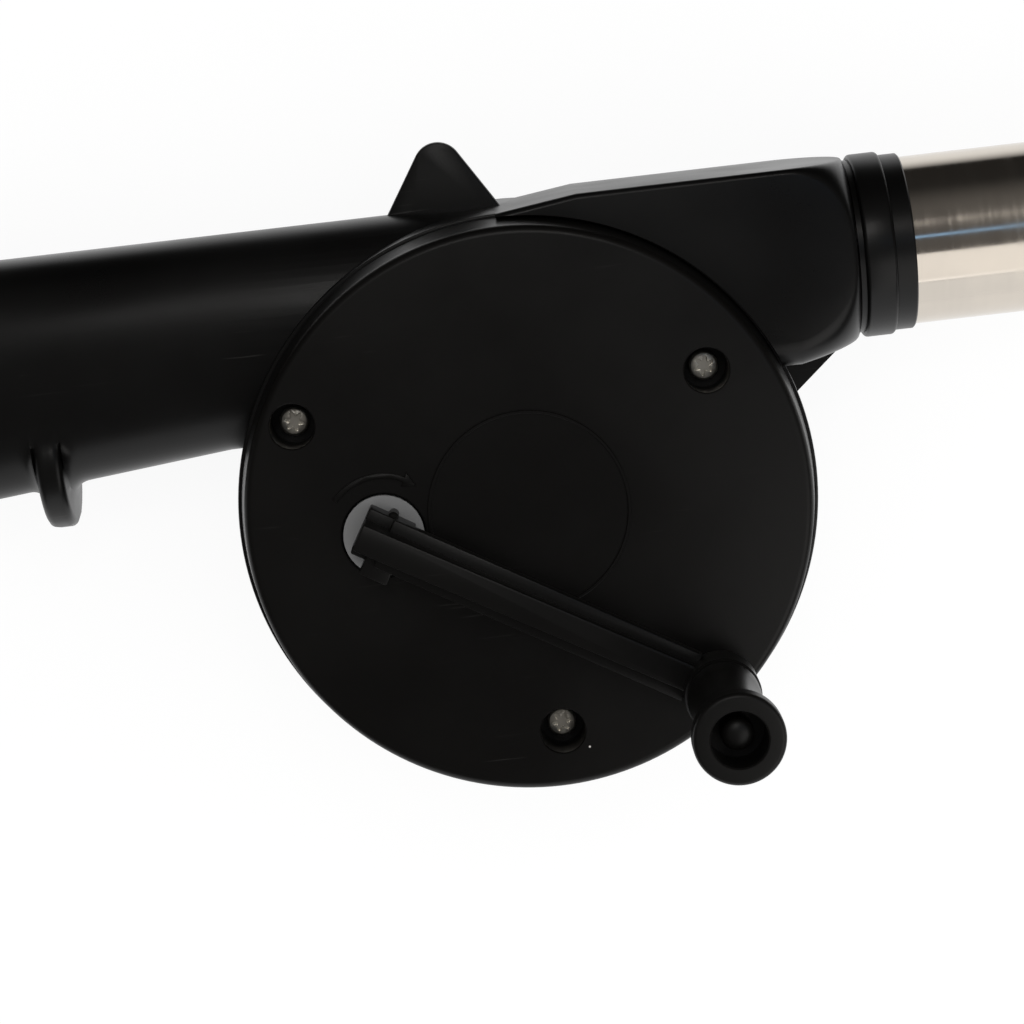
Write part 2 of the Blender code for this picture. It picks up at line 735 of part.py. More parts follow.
def make_drive_gear(plastic, steel):
    # Gear, hub disc in the cover's hole and square spindle in one white moulding
    toward_idler = atan2(idler_axis[1] - crank_axis[1], idler_axis[0] - crank_axis[0])
    gear = extruded("drive_gear", gear_outline(drive_teeth, drive_module, toward_idler),
                    drive_gear_low, drive_gear_high, plastic)
    hub_top = drum_depth + hub_proud
    half = spindle_width / 2
    square = [(-half, -half), (half, -half), (half, half), (-half, half)]
    hub = cylinder("drive_hub", hub_radius, drive_gear_low + gear_width / 2, hub_top, None, 36)
    spindle = extruded("spindle", square, drive_gear_high, hub_top + spindle_height)
    spindle.rotation_euler = (0, 0, crank_angle)
    combine(gear, [hub, spindle], "UNION")
    bore_top = cover_inner - MM
    bore = cylinder("drive_bore", axle_radius + seat_gap, 0, bore_top, None, 20)
    combine(gear, [bore], "DIFFERENCE")
    for item in (gear, hub, spindle, bore):
        item.location = (*crank_axis, 0)
    cylinder("drive_axle", axle_radius, blind_floor + seat_gap, bore_top - seat_gap, steel, 20, crank_axis)


def make_crank(material):
    # The arm is drawn along +X from the crank axis, then swung to its rest angle
    arm_low = drum_depth + arm_clearance
    arm_high = arm_low + arm_thickness
    half = arm_width / 2
    arm_end = crank_radius - arm_end_gap
    arm = extruded("crank_arm", [(arm_start, -half), (arm_end, -half), (arm_end, half), (arm_start, half)],
                   arm_low, arm_high, material)
    side = hub_block / 2
    block_low, block_top = drum_depth + hub_proud + seat_gap, arm_low + hub_block_overlap
    block = extruded(
        "hub_block", [(-side, -side), (side, -side), (side, side), (-side, side)], block_low, block_top)
    nub = cylinder("hub_nub", hub_nub_radius, block_low, block_top - MM, None, 16, (0, side))
    ear_left = -hub_ear_width / 2 + MM
    ear_right, ear_foot = ear_left + hub_ear_width, -side - hub_ear_length
    ear = extruded("hub_ear", [(ear_left, ear_foot), (ear_right, ear_foot), (ear_right, 0), (ear_left, 0)],
                   block_low + MM, arm_high - MM)
    boss = cylinder("arm_boss", arm_boss_radius, arm_low + 0.1 * MM, arm_low + arm_boss_height, None, 28)
    boss.location = (crank_radius, 0, 0)
    rib = make_rib(arm_low + 0.3 * MM, arm_high)
    combine(arm, [block, nub, ear, boss, rib], "UNION")
    hole_half = spindle_width / 2 + seat_gap
    socket = extruded("spindle_socket", [
        (-hole_half, -hole_half), (hole_half, -hole_half), (hole_half, hole_half), (-hole_half, hole_half)],
        drum_depth - MM, drum_depth + hub_proud + spindle_height + seat_gap)
    pin_hole = cylinder("pin_hole", pin_radius + seat_gap, arm_low + MM, arm_high + knob_length, None, 20)
    pin_hole.location = (crank_radius, 0, 0)
    combine(arm, [socket, pin_hole], "DIFFERENCE")
    pose = bpy.data.objects.new("crank_pose", None)
    bpy.context.scene.collection.objects.link(pose)
    pose.location = (*crank_axis, 0)
    pose.rotation_euler = (0, 0, crank_angle)
    for item in (arm, block, nub, ear, boss, rib, socket, pin_hole):
        item.parent = pose


def make_rib(low, arm_high):
    # A narrow rib over block and arm, whose top falls from the hub to the knob
    half = rib_width / 2
    start = -hub_block / 2 - 0.1 * MM
    side_view = [(start, low), (crank_radius, low), (crank_radius, arm_high + rib_height_end),
                 (start, arm_high + rib_height_hub)]
    rings = [[(x, y, z) for x, z in side_view] for y in (-half, half)]
    return lofted("arm_rib", rings)


def make_knob(plastic):
    # The knob turns on a pin that is pressed into the arm's end boss
    foot = drum_depth + arm_clearance + arm_boss_height + seat_gap
    top = foot + knob_length
    bore_foot = top - knob_bore_depth
    bore = pin_radius + seat_gap
    flange_foot = top - knob_flange_length
    waist_length = flange_foot - foot - knob_foot_length - knob_flange_lead
    waist = []
    for step in range(5):
        share = step / 4
        height = foot + knob_foot_length + waist_length * share
        swell = (2 * share - 1) ** 2
        end_radius = knob_foot_radius if share < 0.5 else knob_flange_radius - knob_flange_undercut
        waist.append((knob_waist_radius + (end_radius - knob_waist_radius) * swell, height))
    profile = [(bore, foot), (knob_foot_radius - knob_round, foot), (knob_foot_radius, foot + knob_round)]
    profile += waist
    profile += [
        (knob_flange_radius, flange_foot), (knob_flange_radius, top - knob_round),
        (knob_flange_radius - knob_round * 0.3, top - knob_round * 0.3),
        (knob_flange_radius - knob_round, top),
        (knob_bore_radius, top), (knob_bore_radius, bore_foot), (bore, bore_foot)]
    turned("crank_knob", profile, plastic, 32, knob_axis)

    pin_low = drum_depth + arm_clearance + MM + seat_gap
    head_low = bore_foot + seat_gap
    dome = [(pin_head_radius * cos(angle), head_low + pin_head_height - pin_head_radius * (1 - sin(angle)))
            for angle in (0, pi / 8, pi / 4, 3 * pi / 8)]
    pin = [(0, pin_low), (pin_radius, pin_low), (pin_radius, head_low), (pin_head_radius, head_low)]
    pin += dome + [(0, head_low + pin_head_height)]
    turned("knob_pin", pin, plastic, 20, knob_axis)


def make_nozzle(plastic, steel):
    # Both pieces are turned along local Z, which points down the tube
    ring_start = neck_end + seat_gap
    ring_end = ring_start + collar_ring_length
    lip_end = ring_end + collar_lip_length
    socket = tube_radius + seat_gap
    socket_floor = ring_start + collar_shoulder
    spigot = neck_end_radius - neck_wall - seat_gap
    inner = spigot - collar_spigot_wall
    groove, groove_end = collar_ring_radius - collar_groove_depth, ring_start + collar_groove_length
    beside = collar_ring_radius - collar_chamfer
    collar = turned("nozzle_collar", [
        (inner, ring_start - collar_spigot_length), (spigot, ring_start - collar_spigot_length),
        (spigot, ring_start), (groove, ring_start), (groove, groove_end), (beside, groove_end),
        (collar_ring_radius, groove_end + collar_chamfer),
        (collar_ring_radius, ring_end - collar_chamfer), (beside, ring_end),
        (collar_lip_radius, ring_end), (collar_lip_radius, lip_end), (socket, lip_end),
        (socket, socket_floor), (inner, socket_floor)], plastic, 48)
    start = socket_floor + seat_gap
    end = start + tube_length
    bore = tube_radius - tube_wall
    tube = turned("nozzle_tube", [
        (bore, start), (tube_radius, start), (tube_radius, end - 2 * tube_bead),
        (tube_radius + tube_bead * 0.7, end - 1.5 * tube_bead), (tube_radius + tube_bead, end - tube_bead),
        (tube_radius + tube_bead * 0.5, end), (bore, end)], steel, 48)
    for item in (collar, tube):
        item.rotation_euler = (0, pi / 2, 0)
        item.location = (0, tube_axis, mid_height)


def make_end_cap(material):
    # A plug that closes the hollow grip
    open_end = -drum_radius - handle_length
    outer = open_end - seat_gap
    cap_rings = handle_rings(outer, outer - end_cap_thickness * 0.6, 0)
    cap_rings.append(handle_ring(outer - end_cap_thickness, end_cap_thickness * 0.5))
    cap = lofted("handle_end_cap", cap_rings, material)
    fit = handle_wall + seat_gap
    spigot_end = outer - end_cap_thickness * 0.3
    spigot = lofted("end_cap_spigot", handle_rings(open_end + end_cap_spigot, spigot_end, fit))
    combine(cap, [spigot], "UNION")
    hollow = handle_rings(open_end + end_cap_spigot + MM, outer + seat_gap, fit + handle_wall)
    combine(cap, [lofted("end_cap_hollow", hollow)], "DIFFERENCE")


def make_screws(steel):
    for number, place in enumerate(cover_screw_places, 1):
        screw(f"cover_screw_{number}", place, counterbore_foot + seat_gap, cover_screw_length, steel)
    for number, angle in enumerate(plate_post_angles, 1):
        place = polar(plate_post_circle, angle)
        screw(f"plate_screw_{number}", place, plate_top + seat_gap, plate_screw_length, steel)


def main():
    clear_scene()
    black = make_material("black_plastic", (0.012, 0.011, 0.011), 0.42)
    white = make_material("white_plastic", (0.62, 0.62, 0.60), 0.45)
    steel = make_material("polished_steel", (0.62, 0.60, 0.57), 0.16, 1.0)
    zinc = make_material("screw_steel", (0.55, 0.52, 0.46), 0.32, 1.0)
    bronze = make_material("sintered_bronze", (0.42, 0.27, 0.12), 0.5, 1.0)
    make_housing(black)
    make_grip(black)
    make_cover(black)
    make_gear_plate(black)
    make_bushes(bronze)
    make_fan(white, steel)
    make_idler(bronze, steel)
    make_drive_gear(white, steel)
    make_crank(black)
    make_knob(black)
    make_nozzle(black, steel)
    make_end_cap(black)
    make_screws(zinc)


main()
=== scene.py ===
from math import asin, atan2, cos, hypot, pi, radians, sin, sqrt

import bmesh
import bpy
from mathutils import Matrix, Vector


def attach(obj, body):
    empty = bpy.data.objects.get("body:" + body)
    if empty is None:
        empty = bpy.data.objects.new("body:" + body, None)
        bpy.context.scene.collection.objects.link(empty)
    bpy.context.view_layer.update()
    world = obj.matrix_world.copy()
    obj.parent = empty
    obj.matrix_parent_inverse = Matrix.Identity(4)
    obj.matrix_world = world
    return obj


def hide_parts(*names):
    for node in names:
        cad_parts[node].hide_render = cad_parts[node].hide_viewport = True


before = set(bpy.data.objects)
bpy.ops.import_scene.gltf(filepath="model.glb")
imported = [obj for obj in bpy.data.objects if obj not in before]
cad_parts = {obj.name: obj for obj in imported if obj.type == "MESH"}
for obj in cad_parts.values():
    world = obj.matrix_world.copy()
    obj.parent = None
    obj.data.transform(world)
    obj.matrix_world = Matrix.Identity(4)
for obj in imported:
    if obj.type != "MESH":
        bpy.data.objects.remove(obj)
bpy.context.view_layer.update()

mm = 0.001
fine = 0.002 * mm                    # corners closer than this are one corner
almost = 0.9995                      # keeps neighbouring corners of a full circle apart

# Places that several pieces share, as in the CAD
crankPlace = (-25.0 * mm, -1.3 * mm)
crankTurn = radians(-30.6)
crankReach = 62.4 * mm
knobPlace = (crankPlace[0] + crankReach * cos(crankTurn), crankPlace[1] + crankReach * sin(crankTurn))
midHeight = 20.5 * mm
tubeHeight = 36.3 * mm               # the tube's axis, along y
drumRadius = 50.7 * mm
coverFront = 44.0 * mm
screwPlaces = [(reach * mm * cos(radians(angle)), reach * mm * sin(radians(angle)))
               for reach, angle in ((38.29, 32.2), (42.66, 153.6), (38.63, -87.9))]

print("frame loaded")


# Modelling helpers

def onlySelect(piece):
    bpy.ops.object.select_all(action="DESELECT")
    piece.select_set(True)
    bpy.context.view_layer.objects.active = piece


def pick(test, mode="EDGE"):
    # Selects what passes the test in the mesh that is being edited
    bpy.ops.mesh.select_mode(type=mode)
    bpy.ops.mesh.select_all(action="DESELECT")
    mesh = bpy.context.object.data
    shape = bmesh.from_edit_mesh(mesh)
    for part in {"VERT": shape.verts, "EDGE": shape.edges, "FACE": shape.faces}[mode]:
        if test(part):
            part.select_set(True)
    bmesh.update_edit_mesh(mesh)


def edgesAt(height, axis=2, slack=0.02 * mm):
    return lambda edge: all(abs(corner.co[axis] - height) < slack for corner in edge.verts)


def tidyShell():
    # Doubles merged, faces turned outwards, back to object mode
    bpy.ops.mesh.select_mode(type="VERT")
    bpy.ops.mesh.select_all(action="SELECT")
    bpy.ops.mesh.remove_doubles(threshold=fine)
    bpy.ops.mesh.normals_make_consistent(inside=False)
    bpy.ops.object.mode_set(mode="OBJECT")


def drawLine(name, points):
    # One vertex of a plane, pulled along the points
    bpy.ops.object.select_all(action="DESELECT")
    bpy.ops.mesh.primitive_plane_add(size=mm)
    piece = bpy.context.object
    piece.name = piece.data.name = name
    bpy.ops.object.mode_set(mode="EDIT")
    bpy.ops.mesh.select_mode(type="VERT")
    bpy.ops.mesh.select_all(action="SELECT")
    bpy.ops.mesh.merge(type="CENTER")
    here = Vector(points[0])
    bpy.ops.transform.translate(value=here)
    for point in points[1:]:
        step = Vector(point) - here
        bpy.ops.mesh.extrude_vertices_move(TRANSFORM_OT_translate={"value": step})
        here = Vector(point)
    return piece


def turned(name, profile, steps=96, centre=(0, 0, 0), axis=(0, 0, 1), closed=False):
    # A profile of (radius, height) points, drawn beside its axis and spun right round
    side = Vector((1, 0, 0)) if axis[2] else Vector((0, 1, 0))
    points = [Vector(centre) + side * radius + Vector(axis) * height for radius, height in profile]
    piece = drawLine(name, points + points[:1] if closed else points)
    bpy.ops.mesh.select_all(action="SELECT")
    bpy.ops.mesh.spin(steps=steps, angle=2 * pi, center=centre, axis=axis)
    tidyShell()
    return piece


def plate(name, outline, low, high):
    # A closed outline in plan, filled and pulled up
    points = [Vector((x, y, low)) for x, y in outline]
    piece = drawLine(name, points + points[:1])
    bpy.ops.mesh.select_all(action="SELECT")
    bpy.ops.mesh.remove_doubles(threshold=fine)
    bpy.ops.mesh.edge_face_add()
    bpy.ops.mesh.extrude_region_move(TRANSFORM_OT_translate={"value": (0, 0, high - low)})
    tidyShell()
    return piece


def skinned(name, rings, capped=True):
    # One circle per ring, pulled to its section, then bridged to the next
    bpy.ops.object.select_all(action="DESELECT")
    count = len(rings[0])
    for number, ring in enumerate(rings):
        if number == 0:
            bpy.ops.mesh.primitive_circle_add(vertices=count, radius=mm)
            piece = bpy.context.object
            piece.name = piece.data.name = name
            bpy.ops.object.mode_set(mode="EDIT")
        else:
            bpy.ops.mesh.primitive_circle_add(vertices=count, radius=mm)
        shape = bmesh.from_edit_mesh(piece.data)
        shape.verts.ensure_lookup_table()
        for corner, place in zip(shape.verts[number * count:], ring):
            corner.co = place
        bmesh.update_edit_mesh(piece.data)
    for number in range(len(rings) - 1):
        pick(lambda edge: edge.verts[0].index // count in (number, number + 1)
             and edge.verts[0].index // count == edge.verts[1].index // count)
        bpy.ops.mesh.bridge_edge_loops()
    if capped:
        for number in (0, len(rings) - 1):
            pick(lambda edge: all(corner.index // count == number for corner in edge.verts))
            bpy.ops.mesh.edge_face_add()
    tidyShell()
    return piece


def rounded(piece, test, width, segments=2):
    # Rounds the picked edges
    onlySelect(piece)
    bpy.ops.object.mode_set(mode="EDIT")
    pick(test)
    bpy.ops.mesh.bevel(offset=width, segments=segments, affect="EDGES", clamp_overlap=True)
    bpy.ops.object.mode_set(mode="OBJECT")


def turnedInPlan(piece, angle, centre):
    # Swings a finished mesh about a vertical axis, then sets it on that axis
    piece.data.transform(Matrix.Translation((centre[0], centre[1], 0)) @ Matrix.Rotation(angle, 4, "Z"))


def combined(piece, tools, operation):
    # Boolean with each tool in turn; the tools go afterwards
    for tool in tools:
        onlySelect(piece)
        bpy.ops.object.modifier_add(type="BOOLEAN")
        step = piece.modifiers[-1]
        step.operation, step.object, step.solver = operation, tool, "EXACT"
        bpy.ops.object.modifier_apply(modifier=step.name)
        bpy.data.objects.remove(tool)


def merged(name, parts):
    # Several loose tools as one
    onlySelect(parts[0])
    for part in parts:
        part.select_set(True)
    bpy.ops.object.join()
    parts[0].name = name
    return parts[0]


def finished(piece, body, finish, stands=(), angle=32):
    # Place into the mesh, shading, material, body and the CAD nodes it stands for
    onlySelect(piece)
    bpy.ops.object.transform_apply(location=True, rotation=True, scale=True)
    bpy.ops.object.shade_smooth_by_angle(angle=radians(angle))
    piece.data.materials.clear()
    piece.data.materials.append(finish)
    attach(piece, body)
    if stands:
        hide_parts(*stands)
    print("made", piece.name, len(piece.data.polygons))
    return piece


def arcPoints(centre, radius, start, end, steps):
    points = []
    for step in range(steps + 1):
        angle = start + (end - start) * step / steps
        points.append((centre[0] + radius * cos(angle), centre[1] + radius * sin(angle)))
    return points


# Materials

class Field:
    # A node's output that takes part in plain sums
    def __init__(self, tree, socket=None):
        self.tree, self.socket = tree, socket

    def node(self, kind, settings=None, inputs=None, output=0):
        made = self.tree.nodes.new("ShaderNode" + kind)
        for key, value in (settings or {}).items():
            if key == "stops":
                ramp = made.color_ramp.elements
                for number, (place, tone) in enumerate(value):
                    stop = ramp[number] if number < 2 else ramp.new(place)
                    stop.position, stop.color = place, (*tone, 1)
            else:
                setattr(made, key, value)
        for key, value in (inputs or {}).items():
            if isinstance(value, Field):
                self.tree.links.new(value.socket, made.inputs[key])
            else:
                made.inputs[key].default_value = value
        return Field(self.tree, made.outputs[output])

    def sum(self, operation, first, second):
        return self.node("Math", {"operation": operation}, {0: first, 1: second})

    def __add__(self, other):
        return self.sum("ADD", self, other)

    __radd__ = __add__

    def __sub__(self, other):
        return self.sum("SUBTRACT", self, other)

    def __rsub__(self, other):
        return self.sum("SUBTRACT", other, self)

    def __mul__(self, other):
        return self.sum("MULTIPLY", self, other)

    __rmul__ = __mul__

    def band(self, low, high, start=0.0, end=1.0):
        # Smoothly from start to end as the field goes from low to high
        return self.node("MapRange", {"interpolation_type": "SMOOTHSTEP"},
                         {"Value": self, "From Min": low, "From Max": high, "To Min": start, "To Max": end})

    def tint(self, first, second):
        # Colour from first to second as the field goes from 0 to 1
        return self.node("Mix", {"data_type": "RGBA"}, {0: self, 6: first, 7: second}, 2)

    def noise(self, where, scale, detail=3.0, roughness=0.55):
        return self.node("TexNoise", None, {
            "Vector": where, "Scale": scale, "Detail": detail, "Roughness": roughness})

    def shifted(self, where, offset=(0, 0, 0), turn=(0, 0, 0), stretch=(1, 1, 1)):
        return self.node("Mapping", None, {
            "Vector": where, "Location": offset, "Rotation": turn, "Scale": stretch})


def newFinish(name):
    finish = bpy.data.materials.new(name)
    finish.use_nodes = True
    shader = finish.node_tree.nodes["Principled BSDF"]
    field = Field(finish.node_tree)
    where = field.node("TexCoord", output=3)
    return finish, shader, field, where


def plug(shader, name, value):
    if isinstance(value, Field):
        value.tree.links.new(value.socket, shader.inputs[name])
    else:
        shader.inputs[name].default_value = value


def colour(red, green, blue):
    return (red, green, blue, 1.0)


def mouldedPlastic(name, base, light, roughness, grain, dust=0.0, scuffs=0.0, spread=(0, 0, 0), lift=0.5):
    # Injection moulded plastic: fine grain, cloudy gloss, dust specks and short rub marks
    finish, shader, field, start = newFinish(name)
    where = field.shifted(start, spread)
    clouds = field.noise(where, 28, 4)
    grains = field.noise(where, 2600, 2)
    tone = clouds.band(0.3, 0.72).tint(base, light)
    gloss = clouds.band(0.25, 0.75, roughness - 0.05, roughness + 0.06) + grains * 0.05
    height = grains * 0.5 + field.noise(where, 420, 2) * 0.5
    if scuffs:
        rubs = field.noise(field.shifted(where, (0, 0, 0), (0, 0, 0.6), (70, 2100, 1200)), 1, 2)
        worn = field.noise(where, 34, 1).band(0.56, 0.68)
        marks = rubs.band(0.66, 0.78) * worn
        tone = (marks * scuffs).tint(tone, colour(0.16, 0.15, 0.14))
        gloss = gloss + marks * 0.12
    if dust:
        cells = field.node("TexVoronoi", None, {"Vector": where, "Scale": 95.0})
        seeds = field.node("TexVoronoi", None, {"Vector": where, "Scale": 95.0}, 1)
        chosen = field.node("SeparateColor", None, {0: seeds}).band(0.93, 0.95)
        specks = (1 - cells.band(0.012, 0.022)) * chosen
        tone = (specks * dust).tint(tone, colour(0.5, 0.48, 0.45))
        gloss = gloss + specks * 0.3
    plug(shader, "Base Color", tone)
    plug(shader, "Roughness", gloss)
    plug(shader, "Specular IOR Level", lift)
    bump = field.node("Bump", None, {"Strength": grain, "Distance": 0.05 * mm, "Height": height})
    plug(shader, "Normal", bump)
    return finish


def metal(name, base, light, roughness, grain, brushed=(1, 1, 1), spots=0.0):
    # Bright metal: fine drawn lines, cloudy polish and a few dull spots
    finish, shader, field, where = newFinish(name)
    lines = field.noise(field.shifted(where, stretch=brushed), 900, 3)
    clouds = field.noise(where, 60, 3)
    tone = (clouds.band(0.3, 0.7) * 0.6 + lines * 0.4).tint(base, light)
    gloss = clouds.band(0.3, 0.75, roughness - 0.03, roughness + 0.05) + lines.band(0.4, 0.8) * 0.06
    if spots:
        dull = field.noise(where, 260, 2).band(0.64, 0.72)
        tone = (dull * spots).tint(tone, colour(base[0] * 0.35, base[1] * 0.33, base[2] * 0.3))
        gloss = gloss + dull * 0.2
    plug(shader, "Base Color", tone)
    plug(shader, "Roughness", gloss)
    plug(shader, "Metallic", 1.0)
    bump = field.node("Bump", None, {"Strength": grain, "Distance": 0.02 * mm, "Height": lines})
    plug(shader, "Normal", bump)
    return finish


plasticTones = {
    "body": colour(0.0012, 0.0011, 0.0011), "bodyLight": colour(0.0024, 0.0023, 0.0022),
    "cover": colour(0.0014, 0.0011, 0.0009), "coverLight": colour(0.0026, 0.0022, 0.0018),
    "crank": colour(0.0014, 0.0012, 0.0010), "crankLight": colour(0.0028, 0.0025, 0.0021),
    "white": colour(0.15, 0.15, 0.15), "whiteLight": colour(0.19, 0.19, 0.19),
}
bodyPlastic = mouldedPlastic(
    "bodyPlastic", plasticTones["body"], plasticTones["bodyLight"], 0.30, grain=0.22,
    dust=0.8, scuffs=0.12, lift=0.3)
coverPlastic = mouldedPlastic(
    "coverPlastic", plasticTones["cover"], plasticTones["coverLight"], 0.34, grain=0.3,
    dust=1.0, scuffs=0.08, spread=(0.31, 0.12, 0), lift=0.28)
crankPlastic = mouldedPlastic(
    "crankPlastic", plasticTones["crank"], plasticTones["crankLight"], 0.34, grain=0.25,
    dust=0.6, scuffs=0.08, spread=(0.05, 0.4, 0.1), lift=0.3)
whitePlastic = mouldedPlastic(
    "whitePlastic", plasticTones["white"], plasticTones["whiteLight"], 0.5, grain=0.12,
    spread=(0.2, 0.2, 0.3))
polishedSteel = metal(
    "polishedSteel", colour(0.61, 0.56, 0.50), colour(0.71, 0.65, 0.57), 0.12,
    brushed=(1, 0.06, 0.06), grain=0.04)
screwSteel = metal(
    "screwSteel", colour(0.66, 0.63, 0.56), colour(0.86, 0.83, 0.76), 0.34, grain=0.25, spots=0.3)
shaftSteel = metal(
    "shaftSteel", colour(0.5, 0.49, 0.47), colour(0.62, 0.61, 0.59), 0.24,
    brushed=(1, 1, 0.05), grain=0.2, spots=0.3)
bushBronze = metal(
    "bushBronze", colour(0.36, 0.22, 0.10), colour(0.5, 0.33, 0.16), 0.45, grain=0.4, spots=0.6)

for node, finish in {
        "gear_plate": bodyPlastic, "idler_gear": bushBronze, "fan_pinion": whitePlastic,
        "impeller": whitePlastic, "drive_gear": whitePlastic,
        "rear_bush": bushBronze, "front_bush": bushBronze,
        "fan_shaft": shaftSteel, "fan_washer": shaftSteel, "idler_axle": shaftSteel, "drive_axle": shaftSteel,
        "plate_screw_1": screwSteel, "plate_screw_2": screwSteel, "plate_screw_3": screwSteel}.items():
    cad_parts[node].data.materials.clear()
    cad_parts[node].data.materials.append(finish)

print("materials ready")


# Camera, light and floor

# Distance, tilt and roll follow from the cover's ellipse and its screw heads; angles are in degrees
view = {
    "distance": 520 * mm, "tilt": 9.0, "roll": 6.6, "lens": 107.8, "sensor": 36,
    "frameSize": 1024, "coverAt": (529.5, 511.0),     # the cover's centre in the picture, in pixels
}
pixelFocus = view["lens"] / view["sensor"] * view["frameSize"]
aim = Vector((0, 0, coverFront))
back = Vector((0, sin(radians(view["tilt"])), cos(radians(view["tilt"]))))
level, upright = Vector((1, 0, 0)), back.cross(Vector((1, 0, 0)))
roll = radians(view["roll"])
right = level * cos(roll) - upright * sin(roll)
top = level * sin(roll) + upright * cos(roll)
asideX = (view["coverAt"][0] - view["frameSize"] / 2) / pixelFocus
asideY = (view["frameSize"] / 2 - view["coverAt"][1]) / pixelFocus
toward = (back + right * asideX + top * asideY).normalized()
right = top.cross(toward).normalized()
top = toward.cross(right)
bpy.ops.object.camera_add()
camera = bpy.context.object
camera.name = "photoCamera"
camera.matrix_world = Matrix.Translation(aim + back * view["distance"]) @ Matrix(
    (right, top, toward)).transposed().to_4x4()
camera.data.lens, camera.data.sensor_width = view["lens"], view["sensor"]
camera.data.clip_start, camera.data.clip_end = 0.01, 20
bpy.context.scene.camera = camera
bpy.context.scene.view_settings.view_transform = "Standard"

floorSet = {
    "size": 6.0, "drop": 0.3 * mm, "colour": colour(0.9, 0.9, 0.9), "glow": 0.88, "strength": 1.03,
    "edge": 0.068, "fade": 0.04,         # where the floor ends in reflections, along y
}
surroundings = {
    "dark": colour(0.02, 0.019, 0.018), "overhead": colour(0.11, 0.105, 0.1),
    "sky": colour(0.85, 0.85, 0.85), "white": colour(1, 1, 1), "horizon": 0.4,
}


def lookRays(field):
    # Rays from the camera, and those with the ones that gloss and glass send on
    fromCamera = field.node("LightPath")
    onward = field.sum("MAXIMUM", field.node("LightPath", output=3), field.node("LightPath", output=6))
    return fromCamera, field.sum("MAXIMUM", fromCamera, onward)


bpy.ops.mesh.primitive_plane_add(size=floorSet["size"], location=(0, 0, -floorSet["drop"]))
floor = bpy.context.object
floor.name = "studioFloor"
floorFinish, floorShader, floorField, floorPlace = newFinish("paleFloor")
plug(floorShader, "Base Color", floorSet["colour"])
plug(floorShader, "Roughness", 0.9)
fromCamera, looked = lookRays(floorField)
behind = floorField.node("SeparateXYZ", None, {0: floorPlace}, 1)
floorEdge = behind.band(floorSet["edge"], floorSet["edge"] + floorSet["fade"]) * (1 - fromCamera)
glow = floorField.node("Emission", None, {
    "Color": floorEdge.tint(surroundings["white"], surroundings["dark"]), "Strength": floorSet["strength"]})
floorMix = floorField.node("MixShader", None, {
    0: looked * floorField.sum("MAXIMUM", floorEdge, floorSet["glow"]),
    1: Field(floorField.tree, floorShader.outputs[0]), 2: glow})
plug(floorField.tree.nodes["Material Output"], "Surface", floorMix)
floor.data.materials.append(floorFinish)

# Pale for diffuse light and white for the camera; in reflections dark overhead and bright on the near side
world = bpy.data.worlds.new("studioWorld")
bpy.context.scene.world = world
world.use_nodes = True
sky = Field(world.node_tree)
direction = sky.node("TexCoord")
far = sky.node("SeparateXYZ", None, {0: direction}, 1)
heightUp = sky.node("SeparateXYZ", None, {0: direction}, 2)
overhead = heightUp.band(0.15, 0.8).tint(surroundings["dark"], surroundings["overhead"])
horizon = (1 - heightUp.band(0.04, 0.16)) * (1 - far.band(0.05, 0.3)) * surroundings["horizon"]
nearSide = 1 - far.band(-0.86, -0.78)
ceiling = sky.sum("MAXIMUM", horizon, nearSide).tint(overhead, surroundings["white"])
fromCamera, looked = lookRays(sky)
skyColour = looked.tint(surroundings["sky"], fromCamera.tint(ceiling, surroundings["white"]))
backdrop = world.node_tree.nodes["Background"]
plug(backdrop, "Color", skyColour)
plug(backdrop, "Strength", 1.0)

# The panel and the line shine straight down, for the tube's bright band and its thin blue one
lamps = {
    "keyLamp": {"place": (-0.06, 0.30, 0.85), "size": (0.12, 0.12), "power": 0.32, "colour": (1, 0.99, 0.97)},
    "fillLamp": {"place": (0.08, 0.40, 0.80), "size": (0.12, 0.12), "power": 0.32, "colour": (1, 0.96, 0.92)},
    "tubePanel": {"place": (0.22, -0.1635, 0.25), "size": (0.30, 0.273), "power": 0.275,
                  "colour": (1, 0.98, 0.96), "down": True},
    "tubeLine": {"place": (0.25, 0.097, 0.5), "size": (0.3, 0.025), "power": 0.02, "colour": (0.3, 0.6, 1),
                 "down": True},
}
for name, values in lamps.items():
    bpy.ops.object.light_add(type="AREA", location=values["place"])
    lamp = bpy.context.object
    lamp.name = name
    lamp.data.shape, lamp.data.energy, lamp.data.color = "RECTANGLE", values["power"], values["colour"]
    lamp.data.size, lamp.data.size_y = values["size"]
    if not values.get("down"):
        lamp.rotation_euler = (-Vector(values["place"])).to_track_quat("-Z", "Y").to_euler()
    lamp.visible_camera = False

print("camera, lamps and floor set")


# Drum housing

